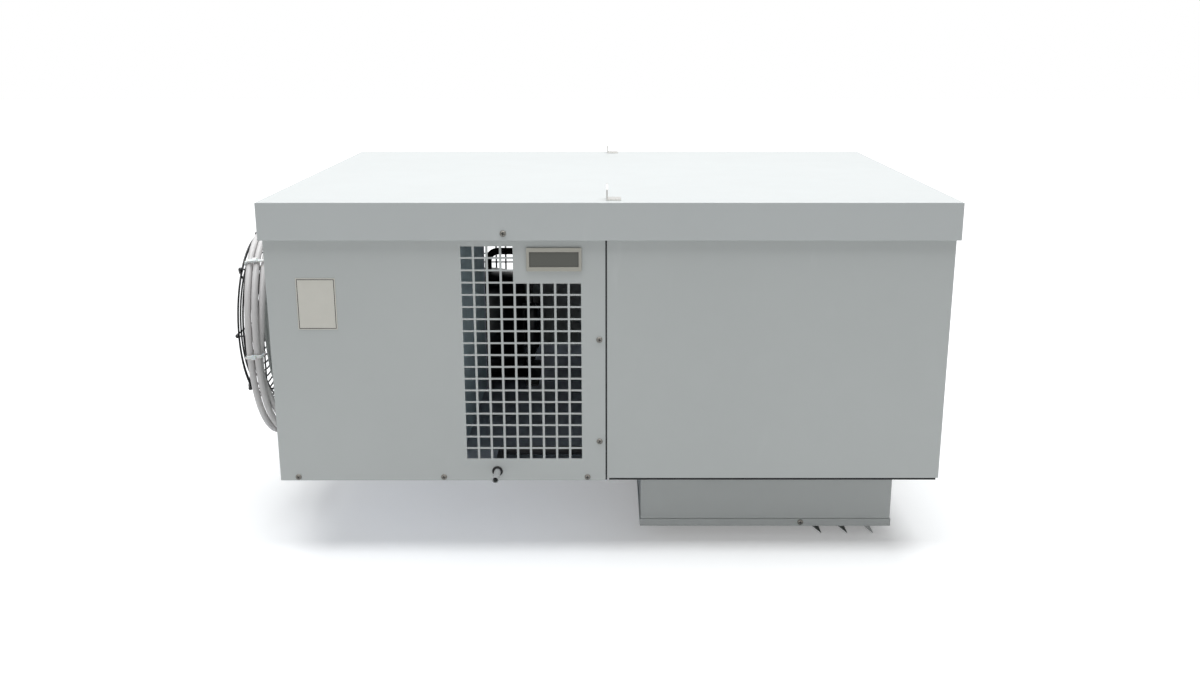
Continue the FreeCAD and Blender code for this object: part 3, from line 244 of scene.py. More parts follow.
# %% [markdown]
# The points become one spline with a round section. The thickness is written as the radius of each
# point, on a bevel of 1 metre, because then the curve's box is the true box of the cable.

# %% The cable's curve
cable_curve = bpy.data.curves.new("mains_cable", "CURVE")
cable_curve.dimensions = "3D"
cable_spline = cable_curve.splines.new("NURBS")
cable_spline.points.add(len(route) - 1)
for point, place in zip(cable_spline.points, route):
    point.co = (*place, 1.0)
    point.radius = CABLE_RADIUS
cable_spline.order_u = 3
cable_spline.use_endpoint_u = True
cable_curve.resolution_u = 14
cable_curve.bevel_depth = 1.0
cable_curve.bevel_resolution = 6
cable_curve.use_fill_caps = True
cable = bpy.data.objects.new("mains_cable", cable_curve)
bpy.context.collection.objects.link(cable)

# %% [markdown]
# The plug is a plain moulded one with two flat blades and ribs where fingers pull it. It could be carved
# from one block. It is built instead from a turned neck and a stack of rounded blocks, because the ribs
# then come from one loop.

# %% Plug
PLUG_START = 0.100
plug_matrix = Matrix.Translation(tail_start + PLUG_START * DOWN)
plug_matrix @= Matrix((-ACROSS, Vector((0, 1, 0)), DOWN)).transposed().to_4x4()
PLUG_NECK = [(0, 0), (0.0062, 0), (0.0079, 0.004), (0.0079, 0.0145), (0, 0.0145)]
PLUG_RIBS = 6
work = bmesh.new()
add_turned(work, PLUG_NECK, plug_matrix, 32)
add_block(work, (-0.0162, -0.0105, 0.014), (0.0162, 0.0105, 0.050), plug_matrix)
for rib in range(PLUG_RIBS):
    height = 0.0175 + 0.0052 * rib
    add_block(work, (-0.0178, -0.0118, height), (0.0178, 0.0118, height + 0.003), plug_matrix)
plug = object_from("moulded_plug", work)
round_edges(plug, 0.0011, 3)
add_piece(plug, "black_plastic", stands_for=["mains_plug"])
work = bmesh.new()
for sense in (-1, 1):
    middle = 0.0065 * sense
    add_block(work, (middle - 0.0008, -0.003, 0.0495), (middle + 0.0008, 0.003, 0.067), plug_matrix)
blades = object_from("plug_blades", work)
round_edges(blades, 0.0003)
add_piece(blades, "bright_steel", stands_for=["mains_plug"])
print("plug ribs", PLUG_RIBS, "blades", 2)

# %% [markdown]
# White nylon ties hold the turns. Each is a thin band drawn round the bundle's section, with a small
# square head outside and a cropped end. A band swept along a rounded loop lies closer to the strands than
# a square one would.

# %% Cable ties
# angle, distance out, place across, half height and half width of each band
TIES = (
    (90, 0.1605, 0.0005, 0.0123, 0.0116),
    (142, 0.1660, 0.0032, 0.0066, 0.0168),
    (262, 0.1660, 0.0005, 0.0066, 0.0168),
)
TIE_WIDTH = 0.0048
TIE_WALL = 0.0011
BUNDLE_RADIUS = 0.166


def add_band(mesh, angle, middle_out, middle_across, half_out, half_across, steps=40):
    """A band round the bundle's section, in the plane that holds the coil's axis."""
    rings = []
    for grow, side in ((0, -1), (0, 1), (TIE_WALL, 1), (TIE_WALL, -1)):
        ring = []
        for index in range(steps):
            turn = 2 * math.pi * index / steps
            out = math.copysign(abs(math.cos(turn)) ** 0.45, math.cos(turn))
            along = math.copysign(abs(math.sin(turn)) ** 0.45, math.sin(turn))
            swing = math.degrees(side * TIE_WIDTH / 2 / BUNDLE_RADIUS)
            radius = middle_out + out * (half_out + grow)
            across = middle_across + along * (half_across + grow)
            ring.append(mesh.verts.new(on_coil(angle + swing, radius, across)))
        rings.append(ring)
    for near, far in zip(rings, rings[1:] + rings[:1]):
        for index in range(steps):
            after = (index + 1) % steps
            mesh.faces.new((near[index], near[after], far[after], far[index])).smooth = True


work = bmesh.new()
for angle, middle_out, middle_across, half_out, half_across in TIES:
    add_band(work, angle, middle_out, middle_across, half_out, half_across)
    outside = on_coil(angle, middle_out + half_out + TIE_WALL, middle_across)
    spoke = (outside - on_coil(angle, 0.0, middle_across)).normalized()
    along = spoke.cross(ACROSS).normalized()
    head = Matrix.Translation(outside) @ Matrix((ACROSS, along, spoke)).transposed().to_4x4()
    add_block(work, (-0.0035, -0.0032, -0.001), (0.0035, 0.0032, 0.0036), head)
    add_block(work, (-0.0125, -0.0020, 0.0006), (-0.0035, 0.0020, 0.0018), head)
ties = object_from("nylon_ties", work)
add_piece(ties, "white_nylon", stands_for=["cable_ties"])
print("ties", len(TIES))

# %% [markdown]
# The cable rides on the casing with its jacket finish, and stands for the plain turns and tail of the
# model, which are hidden.

# %% The cable on its body
add_piece(cable, "cable_jacket", stands_for=["mains_cable_turns", "mains_cable_tail"])

# %% [markdown]
# The cable leaves the casing through a gland: a hexagonal nut against the sheet, then a cap that narrows
# to the cable and takes the strain. A turned profile with six sides makes the nut, and one with many sides
# makes the cap.

# %% Cable gland
LEFT_FACE = -0.740
GLAND_NUT = [(0, 0), (0.0128, 0), (0.0128, 0.006), (0.0112, 0.0072), (0, 0.0072)]
GLAND_CAP = [
    (0, 0.007),
    (0.0096, 0.007),
    (0.0096, 0.011),
    (0.0088, 0.0125),
    (0.0080, 0.0165),
    (0.0062, 0.0205),
    (0.0048, 0.0208),
    (0, 0.0208),
]
GLAND_RIBS = 12
gland_matrix = facing((LEFT_FACE, GLAND_TIP.y, GLAND_TIP.z), (-1, 0, 0))
work = bmesh.new()
add_turned(work, GLAND_NUT, gland_matrix, 6)
add_turned(work, GLAND_CAP, gland_matrix, 40)
for rib in range(GLAND_RIBS):
    turn = gland_matrix @ Matrix.Rotation(2 * math.pi * rib / GLAND_RIBS, 4, "Z")
    add_block(work, (0.0088, -0.0006, 0.0075), (0.0101, 0.0006, 0.0122), turn)
gland = object_from("ribbed_gland", work)
round_edges(gland, 0.0004)
add_piece(gland, "black_plastic", stands_for=["cable_gland"])
print("gland ribs", GLAND_RIBS)

# %% [markdown]
# ## The fan guard
#
# The guard is a welded basket of black wire: rings on its flat face, closer rings over its shoulder, and
# eight arms that bend over the shoulder and end on the collar. Bevelled curves are right for wire, since
# a curve needs only its middle line. All the wires share one curve object.

# %% Sizes of the guard
# each ring is its distance from the fan's axis and its x, and so is each point of an arm
FAN_Y = -0.1147
FAN_Z = 0.198
GUARD_RINGS = [
    (0.044, -0.8218),
    (0.056, -0.8218),
    (0.068, -0.8218),
    (0.080, -0.8218),
    (0.092, -0.8218),
    (0.104, -0.8218),
    (0.116, -0.8218),
    (0.1275, -0.8218),
    (0.1340, -0.8200),
    (0.1352, -0.8120),
    (0.1352, -0.8010),
    (0.1352, -0.7900),
]
GUARD_WIRE_RADIUS = 0.0014
ARMS = 8
ARM = [
    (0.020, -0.8243),
    (0.126, -0.8245),
    (0.1330, -0.8240),
    (0.1364, -0.8218),
    (0.1375, -0.8180),
    (0.1376, -0.7830),
    (0.1390, -0.7790),
]


def wire_curve(name, paths, radius):
    """One curve object of many wires, given as (points, closed)."""
    curve = bpy.data.curves.new(name, "CURVE")
    curve.dimensions = "3D"
    for points, closed in paths:
        spline = curve.splines.new("POLY")
        spline.points.add(len(points) - 1)
        for point, place in zip(spline.points, points):
            point.co = (*place, 1.0)
            point.radius = radius
        spline.use_cyclic_u = closed
        spline.use_smooth = True
    curve.bevel_depth = 1.0
    curve.bevel_resolution = 3
    curve.use_fill_caps = True
    item = bpy.data.objects.new(name, curve)
    bpy.context.collection.objects.link(item)
    return item


def round_fan(angle, radius, x):
    """A point of the guard by its angle, its distance from the fan's axis and its x."""
    return (x, FAN_Y + radius * math.sin(angle), FAN_Z - radius * math.cos(angle))


print("helper for wires ready")

# %% Guard wires
RING_STEPS = 72
wires = []
for radius, x in GUARD_RINGS:
    ring = [round_fan(2 * math.pi * index / RING_STEPS, radius, x) for index in range(RING_STEPS)]
    wires.append((ring, True))
for arm in range(ARMS):
    angle = 2 * math.pi * arm / ARMS
    wires.append(([round_fan(angle, radius, x) for radius, x in ARM], False))
guard = wire_curve("guard_wires", wires, GUARD_WIRE_RADIUS)
add_piece(guard, "black_paint", stands_for=["condenser_fan_guard"])
print("guard wires", len(wires))

# %% [markdown]
# The rings and arms are welded to a round plate over the fan's hub. Each arm has a small knot where it
# bends over the shoulder and a foot where it meets the collar. Turned profiles give all three.

# %% Guard plate, feet and knots
HUB_PLATE = [(0, 0), (0.031, 0), (0.032, 0.001), (0.032, 0.003), (0, 0.003)]
FOOT = [(0, 0), (0.0031, 0), (0.0034, 0.004), (0, 0.005)]
KNOT = [(0, -0.0030), (0.0026, -0.0022), (0.0034, 0), (0.0026, 0.0022), (0, 0.0030)]
SHOULDER_RADIUS = 0.1372
work = bmesh.new()
add_turned(work, HUB_PLATE, facing((-0.8232, FAN_Y, FAN_Z), (1, 0, 0)))
for arm in range(ARMS):
    angle = 2 * math.pi * arm / ARMS
    outwards = (0, math.sin(angle), -math.cos(angle))
    add_turned(work, FOOT, facing(round_fan(angle, SHOULDER_RADIUS, -0.7822), (1, 0, 0)), 16)
    add_turned(work, KNOT, facing(round_fan(angle, SHOULDER_RADIUS, -0.8212), outwards), 16)
guard_hub = object_from("guard_hub_plate", work)
add_piece(guard_hub, "black_paint", stands_for=["condenser_fan_guard"])
print("guard feet", ARMS)

# %% [markdown]
# ## The finned coils
#
# Each coil is a stack of thin aluminium fins on copper tubes, which bend back at the ends. The plain model
# shows a ribbed block. A loop of thin blocks gives real fins with air between them, and it catches light
# the way a coil does through a grille.

# %% Fins
FIN_WALL = 0.0003


def add_fins(name, low, high, pitch, stands_for):
    """A stack of fins along y between two corners. Gives their number."""
    work = bmesh.new()
    count = int((high[1] - low[1]) / pitch)
    for index in range(count + 1):
        y = low[1] + pitch * index
        add_block(work, (low[0], y, low[2]), (high[0], y + FIN_WALL, high[2]))
    add_piece(object_from(name, work), "fins", stands_for=[stands_for])
    return count + 1


fins_in = {}
for name, low, high, pitch, coil in (
    ("condenser_fins", (-0.535, -0.335, 0.008), (-0.477, 0.1015, 0.350), 0.0024, "condenser_coil"),
    ("evaporator_fins", (0.032, -0.246, 0.026), (0.096, 0.2455, 0.346), 0.0045, "evaporator_coil"),
):
    fins_in[name] = add_fins(name, low, high, pitch, coil)
print(fins_in)

# %% [markdown]
# The tubes run through the fins in rows. Outside the tube plate, a half ring joins each pair. Both are
# wires, so the helper of the guard draws them too.

# %% Tubes and return bends
TUBE_RADIUS = 0.0035
PAIR_GAP = 0.020


def return_bend(x, y, low, high):
    """A half ring of tube between two heights, in front of a tube plate."""
    middle = (low + high) / 2
    radius = (high - low) / 2
    points = []
    for index in range(13):
        angle = math.pi * index / 12
        points.append((x, y - radius * math.sin(angle), middle - radius * math.cos(angle)))
    return points


bends = []
tubes = []
for columns, rows, lowest, rise, plate, front, rear in (
    ((-0.520, -0.492), 7, 0.030, 0.044, -0.3364, -0.336, 0.103),
    ((0.048, 0.080), 6, 0.045, 0.048, -0.2476, -0.2475, 0.2475),
):
    for x in columns:
        for row in range(rows):
            low = lowest + rise * row
            bends.append((return_bend(x, plate, low, low + PAIR_GAP), False))
            for height in (low, low + PAIR_GAP):
                tubes.append(([(x, front, height), (x, rear, height)], False))
tube_work = wire_curve("return_bends", bends + tubes, TUBE_RADIUS)
add_piece(tube_work, "copper", stands_for=["condenser_coil", "evaporator_coil"])
print("tubes", len(tubes), "return bends", len(bends))

# %% [markdown]
# ## Compressor and pipes
#
# The compressor is a drawn steel can in two halves, welded round the middle. It stands upright, so one
# turned profile gives it. The weld is a small step in the profile, and the dome is a flattened quarter
# of a circle.

# %% Compressor
CAN_RADIUS = 0.0768
DOME_START = 0.176
DOME_HEIGHT = 0.032
DOME_STEPS = 12
work = bmesh.new()
shell = [(0, 0.0205), (0.070, 0.0205), (0.0755, 0.024), (CAN_RADIUS, 0.030), (CAN_RADIUS, 0.104)]
shell += [(0.0775, 0.1055), (0.0775, 0.1125), (CAN_RADIUS, 0.114), (CAN_RADIUS, DOME_START)]
for step in range(1, DOME_STEPS):
    turn = math.radians(90 * step / DOME_STEPS)
    shell.append((CAN_RADIUS * math.cos(turn) ** 0.55, DOME_START + DOME_HEIGHT * math.sin(turn)))
shell.append((0, DOME_START + DOME_HEIGHT))
add_turned(work, shell, Matrix.Translation((-0.485, 0.205, 0)), 96)
add_piece(object_from("compressor_can", work), "black_paint", stands_for=["compressor_shell"])
print("compressor profile points", len(shell))

# %% [markdown]
# The pipes are bent with a tool, so each corner is an arc. The cold suction line wears a black foam
# sleeve, and the others are painted black. They could be drawn point by point. The helper below rounds
# a list of corners instead, which keeps each pipe as a few readable numbers.

# %% Pipes


def bent(corners, bend, steps=8):
    """Points along a pipe whose corners are rounded to a bend radius."""
    corners = [Vector(corner) for corner in corners]
    points = [corners[0]]
    for before, corner, after in zip(corners, corners[1:], corners[2:]):
        reach = min(bend, (corner - before).length / 2, (after - corner).length / 2)
        start = corner + (before - corner).normalized() * reach
        end = corner + (after - corner).normalized() * reach
        middle = start + end - corner
        for step in range(steps + 1):
            share = math.pi / 2 * step / steps
            points.append(middle + math.sin(share) * (end - middle) + math.cos(share) * (start - middle))
    return [tuple(point) for point in points + [corners[-1]]]


SUCTION = [(-0.485, 0.262, 0.195), (-0.485, 0.262, 0.236), (0.064, 0.262, 0.236), (0.064, 0.2475, 0.236)]
DISCHARGE = [(-0.506, 0.160, 0.195), (-0.506, 0.160, 0.322), (-0.506, 0.1035, 0.322)]
LIQUID = [(-0.4915, 0.1035, 0.060), (-0.4915, 0.118, 0.060), (-0.394, 0.118, 0.060)]
CAPILLARY = [(-0.390, 0.118, 0.165), (-0.390, 0.118, 0.290), (-0.390, 0.262, 0.290), (-0.390, 0.262, 0.243)]
pipe_jobs = [
    ("suction_line", SUCTION, 0.0068, 0.020, "gasket"),
    ("discharge_pipe", DISCHARGE, 0.0048, 0.030, "black_plastic"),
    ("liquid_line", LIQUID, 0.0048, 0.014, "black_paint"),
    ("capillary_tube", CAPILLARY, 0.0024, 0.020, "black_paint"),
]
for name, corners, radius, bend, finish in pipe_jobs:
    pipe = wire_curve(name, [(bent(corners, bend), False)], radius)
    add_piece(pipe, finish, stands_for=["refrigerant_pipes"])
print("pipes", len(pipe_jobs))

# %% [markdown]
# The filter drier is a can between the liquid line and the capillary, necked down at both ends. A profile
# turned round the pipe's line gives the can and both necks at once.

# %% Filter drier
work = bmesh.new()
drier = [(0, 0.055), (0.005, 0.055), (0.005, 0.067), (0.009, 0.076), (0.014, 0.084), (0.014, 0.150)]
drier += [(0.009, 0.158), (0.005, 0.165), (0, 0.165)]
add_turned(work, drier, Matrix.Translation((-0.390, 0.118, 0)), 40)
add_piece(object_from("filter_drier", work), "black_paint", stands_for=["refrigerant_pipes"])
print("drier profile points", len(drier))

# %% [markdown]
# ## Screws and the bare nameplate
#
# Pan-head screws hold the panels. One head could be copied by an array. Here the head is a turned profile,
# and a loop sets it down at each place with a crossed recess in black, because the places are uneven. The
# black
# cross is painted shade: it stands for the shade in the recess and is not cut into the head.
# Each head is turned by a different amount, as driven screws are.

# %% Screws
FRONT_FACE = -0.3535
REAR_FACE = 0.3535
HEAD = [(0.0045, 0), (0.0045, 0.0006), (0.0041, 0.0014), (0.0031, 0.0021), (0.0016, 0.0024), (0, 0.0025)]
LID_SCREW_Z = 0.377
TURN_PER_METRE = 6.0
screws = [((-0.396, -0.3605, LID_SCREW_Z), (0, -1, 0)), ((0.0554, -0.2982, -0.0925), (0, -1, 0))]
for x, z in ((-0.713, 0.0057), (-0.494, 0.0057), (-0.278, 0.0057), (-0.2597, 0.0626), (-0.2597, 0.2195)):
    screws.append(((x, FRONT_FACE, z), (0, -1, 0)))
    screws.append(((x, REAR_FACE, z), (0, 1, 0)))
for y in (-0.30, 0.30):
    screws.append(((-0.745, y, LID_SCREW_Z), (-1, 0, 0)))
    for z in (0.060, 0.320):
        screws.append(((0.250, 1.12 * y, z), (1, 0, 0)))
        screws.append(((LEFT_FACE, 1.12 * y, z), (-1, 0, 0)))
heads = bmesh.new()
# black crosses laid on the heads: painted shade for the recesses
recess_shade_marks = bmesh.new()
for place, direction in screws:
    turned = TURN_PER_METRE * (place[0] + place[2])
    matrix = facing(place, direction) @ Matrix.Rotation(turned, 4, "Z")
    add_turned(heads, HEAD, matrix, 24)
    for across, up in ((0.0026, 0.0006), (0.0006, 0.0026)):
        add_block(recess_shade_marks, (-across, -up, 0.0018), (across, up, 0.00253), matrix)
add_piece(object_from("screw_heads", heads), "screw_steel")
# the crosses wear black enamel as painted shade
add_piece(object_from("screw_recess_shade_marks", recess_shade_marks), "black_paint")
print("screws", len(screws))

# %% [markdown]
# A small plate sits on the front at the left. It is left without words. The plate is a thin block, and
# its printed border is four thin strips just proud of it.

# %% Nameplate
PLATE_WALL = 0.0008
STRIP_BACK = 0.0007
STRIP_FRONT = 0.0010
# the lower left and the upper right corner of each strip, as x and z
STRIPS = (
    ((-0.6955, 0.2365), (-0.6415, 0.2373)),
    ((-0.6955, 0.3087), (-0.6415, 0.3095)),
    ((-0.6955, 0.2365), (-0.6947, 0.3095)),
    ((-0.6423, 0.2365), (-0.6415, 0.3095)),
)
work = bmesh.new()
add_block(work, (-0.697, FRONT_FACE - PLATE_WALL, 0.235), (-0.640, FRONT_FACE, 0.311))
nameplate = object_from("bare_nameplate", work)
round_edges(nameplate, 0.0003)
add_piece(nameplate, "nameplate_film")
work = bmesh.new()
for (left, low), (right, high) in STRIPS:
    add_block(work, (left, FRONT_FACE - STRIP_FRONT, low), (right, FRONT_FACE - STRIP_BACK, high))
add_piece(object_from("nameplate_border", work), "black_plastic")
print("nameplate with", len(STRIPS), "border strips")

# %% [markdown]
# The open joint between the left and right panels shows as a dark line in the photograph. The panels
# really stand apart there. A black strip is set in the gap just below the paint as painted shade, because a
# gap this thin shows no light.

# %% Joint strips of painted shade
JOINT_LEFT = -0.25095
JOINT_RIGHT = -0.24855
JOINT_DEPTHS = (0.0004, 0.00095)
work = bmesh.new()
for face, inward in ((FRONT_FACE, 1), (REAR_FACE, -1)):
    near, far = sorted(face + inward * depth for depth in JOINT_DEPTHS)
    add_block(work, (JOINT_LEFT, near, 0.001), (JOINT_RIGHT, far, 0.4190))
# the strips wear the black rubber finish as painted shade in the gap
add_piece(object_from("joint_painted_shade_strips", work), "gasket")
print("joint strips", 2)

# %% [markdown]
# The drain tube comes out through a rubber grommet, which is the dark ring round it in the photograph. It
# is a small rounded ring, so a turned profile that ends where it starts gives it.

# %% Grommet round the drain tube
work = bmesh.new()
grommet = [(0.0052, 0), (0.0052, 0.0012), (0.0066, 0.0018), (0.0078, 0.0014), (0.0080, 0), (0.0052, 0)]
add_turned(work, grommet, facing((-0.4134, FRONT_FACE, 0.0150), (0, -1, 0)), 40)
add_piece(object_from("drain_grommet", work), "gasket")
print("grommet profile points", len(grommet))

# %% [markdown]
# ## Effects that the finishes share
#
# Paint, metal and plastic differ in colour and gloss, but they share four effects: slow drifts of tone, a
# fine grain, dust on what faces up, and light scuffs. Each effect is a node group with named inputs, built
# once. A group gives out only colours, masks and values, and the shader stays in the material.

# %% Helpers for node groups


def new_group(name, inputs, outputs):
    """An empty group with named sockets. Gives the tree, its input node and its output node."""
    tree = bpy.data.node_groups.new(name, "ShaderNodeTree")
    for label, kind, value in inputs:
        socket = tree.interface.new_socket(name=label, in_out="INPUT", socket_type=kind)
        socket.default_value = value
    for label, kind in outputs:
        tree.interface.new_socket(name=label, in_out="OUTPUT", socket_type=kind)
    return tree, tree.nodes.new("NodeGroupInput"), tree.nodes.new("NodeGroupOutput")


def plug_in(tree, socket, value):
    """Link a socket, or set it where the value is a plain number."""
    if isinstance(value, (int, float)):
        socket.default_value = value
    else:
        tree.links.new(value, socket)


def calculate(tree, operation, first, second):
    """A Math node on two sockets or numbers."""
    item = tree.nodes.new("ShaderNodeMath")
    item.operation = operation
    plug_in(tree, item.inputs[0], first)
    plug_in(tree, item.inputs[1], second)
    return item.outputs[0]


def noise_of(tree, scale, detail=3.0, stretch=(1, 1, 1)):
    """Noise in the object's own metres, stretched along its axes."""
    where = tree.nodes.new("ShaderNodeTexCoord")
    mapping = tree.nodes.new("ShaderNodeMapping")
    mapping.inputs["Scale"].default_value = stretch
    noise = tree.nodes.new("ShaderNodeTexNoise")
    noise.inputs["Detail"].default_value = detail
    tree.links.new(where.outputs["Object"], mapping.inputs["Vector"])
    tree.links.new(mapping.outputs["Vector"], noise.inputs["Vector"])
    plug_in(tree, noise.inputs["Scale"], scale)
    return noise.outputs["Fac"]


def ramp_between(tree, value, low, high):
    """0 below low, 1 above high, and smooth between."""
    item = tree.nodes.new("ShaderNodeMapRange")
    item.interpolation_type = "SMOOTHSTEP"
    item.inputs["From Min"].default_value = low
    item.inputs["From Max"].default_value = high
    tree.links.new(value, item.inputs["Value"])
    return item.outputs["Result"]


print("group helpers ready")

# %% [markdown]
# No painted sheet is the same tone all over. Two layers of noise, one broad and one fine, lift and lower
# the brightness of a colour a little round its own value.

# %% Group: slow drifts of tone
VALUE = "NodeSocketFloat"
COLOUR = "NodeSocketColor"
tone_drift, start, end = new_group(
    "Tone drift",
    [("Colour", COLOUR, (0.5, 0.5, 0.5, 1)), ("Amount", VALUE, 0.05), ("Scale", VALUE, 4.0)],
    [("Colour", COLOUR)],
)
broad = noise_of(tone_drift, start.outputs["Scale"], 2.0)
fine = noise_of(tone_drift, calculate(tone_drift, "MULTIPLY", start.outputs["Scale"], 9.0), 4.0)
broad_part = calculate(tone_drift, "MULTIPLY", broad, 1.5)
fine_part = calculate(tone_drift, "MULTIPLY", fine, 0.5)
mixed = calculate(tone_drift, "ADD", broad_part, fine_part)
centred = calculate(tone_drift, "SUBTRACT", mixed, 1.0)
change = calculate(tone_drift, "MULTIPLY", centred, start.outputs["Amount"])
shade = tone_drift.nodes.new("ShaderNodeHueSaturation")
tone_drift.links.new(calculate(tone_drift, "ADD", change, 1.0), shade.inputs["Value"])
tone_drift.links.new(start.outputs["Colour"], shade.inputs["Color"])
tone_drift.links.new(shade.outputs["Color"], end.inputs["Colour"])
print("group", tone_drift.name)

# %% [markdown]
# Powder coat and moulded plastic have a fine grain, and are duller in some places than in others. The
# group gives a height for a bump and a roughness that wanders round its own value.

# %% Group: fine grain
surface_grain, start, end = new_group(
    "Surface grain",
    [("Scale", VALUE, 900.0), ("Roughness", VALUE, 0.4), ("Spread", VALUE, 0.1)],
    [("Height", VALUE), ("Roughness", VALUE)],
)
grain = noise_of(surface_grain, start.outputs["Scale"], 2.0)
patch_scale = calculate(surface_grain, "MULTIPLY", start.outputs["Scale"], 0.02)
patches = noise_of(surface_grain, patch_scale, 3.0)
grain_part = calculate(surface_grain, "MULTIPLY", grain, 0.4)
patch_part = calculate(surface_grain, "MULTIPLY", patches, 0.6)
both = calculate(surface_grain, "ADD", grain_part, patch_part)
centred = calculate(surface_grain, "SUBTRACT", both, 0.5)
spread = calculate(surface_grain, "MULTIPLY", centred, start.outputs["Spread"])
rough = calculate(surface_grain, "ADD", start.outputs["Roughness"], spread)
surface_grain.links.new(rough, end.inputs["Roughness"])
surface_grain.links.new(grain, end.inputs["Height"])
print("group", surface_grain.name)

# %% [markdown]
# Dust lies on what faces up, in clouds. The mask is the upward part of the normal times a noise.

# %% Group: dust on what faces up
settled_dust, start, end = new_group(
    "Settled dust",
    [("Amount", VALUE, 0.2), ("Scale", VALUE, 12.0)],
    [("Mask", VALUE)],
)
surface = settled_dust.nodes.new("ShaderNodeNewGeometry")
parts = settled_dust.nodes.new("ShaderNodeSeparateXYZ")
settled_dust.links.new(surface.outputs["Normal"], parts.inputs["Vector"])
faces_up = ramp_between(settled_dust, parts.outputs["Z"], -0.1, 0.9)
cloudy = ramp_between(settled_dust, noise_of(settled_dust, start.outputs["Scale"], 5.0), 0.3, 0.75)
lying = calculate(settled_dust, "MULTIPLY", faces_up, cloudy)
mask = calculate(settled_dust, "MULTIPLY", lying, start.outputs["Amount"])
settled_dust.links.new(mask, end.inputs["Mask"])
print("group", settled_dust.name)

# %% [markdown]
# Handling leaves light scuffs in a few places. One noise, drawn out along z, gives the streaks, and a
# second one says where they may lie.

# %% Group: light scuffs
light_scuffs, start, end = new_group(
    "Light scuffs",
    [("Amount", VALUE, 0.2), ("Scale", VALUE, 30.0)],
    [("Mask", VALUE)],
)
streaks = noise_of(light_scuffs, start.outputs["Scale"], 6.0, (1.0, 1.0, 0.25))
places = noise_of(light_scuffs, 5.0, 2.0)
sharp = ramp_between(light_scuffs, streaks, 0.6, 0.72)
worn_places = ramp_between(light_scuffs, places, 0.5, 0.65)
thin = calculate(light_scuffs, "MULTIPLY", sharp, worn_places)
mask = calculate(light_scuffs, "MULTIPLY", thin, start.outputs["Amount"])
light_scuffs.links.new(mask, end.inputs["Mask"])
print("group", light_scuffs.name)

# %% [markdown]
# ## The finishes
#
# One recipe makes every finish from its own numbers. The colour drifts, dust and scuffs are mixed over it,
# the grain feeds roughness and a faint bump, and what is the same all over is set on the shader itself.
# Powder coat is pale and semi-gloss with an orange-peel grain, zinc is mottled, and rubber is dull.

# %% The recipe
DUST_COLOUR = (0.42, 0.40, 0.37)
DUST_SCALE = 14.0
SCUFF_SCALE = 40.0
RELIEF_DEPTH = 0.001


def mix_colours(tree, factor, first, second):
    """Lay a plain colour over a linked one by a mask."""
    item = tree.nodes.new("ShaderNodeMix")
    item.data_type = "RGBA"
    tree.links.new(factor, item.inputs[0])
    tree.links.new(first, item.inputs[6])
    item.inputs[7].default_value = (*second, 1)
    return item.outputs[2]


def use_group(tree, group, **values):
    """Place a group in a material with its own values."""
    item = tree.nodes.new("ShaderNodeGroup")
    item.node_tree = group
    for label, value in values.items():
        item.inputs[label].default_value = value
    return item


def make_finish(
    name,
    colour,
    roughness,
    metal=0.0,
    drift=(0.05, 4.0),
    grain=(900.0, 0.10, 0.03),
    dust=0.1,
    scuffs=0.1,
    **sockets,
):
    """A finish from its colour and its share of each effect.

    Drift is (amount, scale). Grain is (scale, spread of roughness, strength of the bump).
    """
    material = bpy.data.materials.new(name)
    material.use_nodes = True
    tree = material.node_tree
    shader = tree.nodes["Principled BSDF"]
    toned = use_group(tree, tone_drift, Colour=(*colour, 1), Amount=drift[0], Scale=drift[1])
    worn = use_group(tree, light_scuffs, Amount=scuffs, Scale=SCUFF_SCALE)
    dusty = use_group(tree, settled_dust, Amount=dust, Scale=DUST_SCALE)
    grained = use_group(tree, surface_grain, Scale=grain[0], Roughness=roughness, Spread=grain[1])
    pale = tuple(min(1.0, value * 0.55 + 0.38) for value in colour)
    scuffed = mix_colours(tree, worn.outputs["Mask"], toned.outputs["Colour"], pale)
    dusted = mix_colours(tree, dusty.outputs["Mask"], scuffed, DUST_COLOUR)
    relief = tree.nodes.new("ShaderNodeBump")
    relief.inputs["Strength"].default_value = grain[2]
    relief.inputs["Distance"].default_value = RELIEF_DEPTH
    tree.links.new(dusted, shader.inputs["Base Color"])
    tree.links.new(grained.outputs["Roughness"], shader.inputs["Roughness"])
    tree.links.new(grained.outputs["Height"], relief.inputs["Height"])
    tree.links.new(relief.outputs["Normal"], shader.inputs["Normal"])
    shader.inputs["Metallic"].default_value = metal
    for label, value in sockets.items():
        shader.inputs[label.replace("_", " ")].default_value = value
    return material


print("recipe ready")

# %% [markdown]
# Casing and lid wear the same pale grey powder coat, and the lid is a little glossier because it is clean.
# The lid's colour is set a touch lighter and cooler than the casing's, as painted light on the lid, which
# faces the lamp.
# Paint could be one flat colour. Its slight drift and grain are what make a big sheet look real. Zinc on
# the inner sheets is mottled, so its tone drifts the most. Its colour is set paler and bluer than zinc, as
# painted light for the inner sheets, which lie in shade inside the box.

# %% Paints and sheet metal
finishes = {}
finishes["casing_paint"] = make_finish(
    "Casing powder coat", (0.475, 0.494, 0.484), 0.42,
    drift=(0.05, 3.0), grain=(700, 0.10, 0.06), dust=0.04, scuffs=0.10,
)
# a lighter copy of the casing paint: painted light on the lid
finishes["lid_paint"] = make_finish(
    "Lid powder coat with painted light", (0.500, 0.520, 0.515), 0.30,
    drift=(0.04, 2.5), grain=(700, 0.08, 0.05), dust=0.05, scuffs=0.08,
)
finishes["liner_paint"] = make_finish(
    "Liner paint", (0.620, 0.625, 0.610), 0.45,
    dust=0.05,
)
finishes["black_paint"] = make_finish(
    "Black enamel", (0.010, 0.010, 0.011), 0.32,
    drift=(0.30, 10.0), grain=(900, 0.12, 0.05), dust=0.05, scuffs=0.05,
)
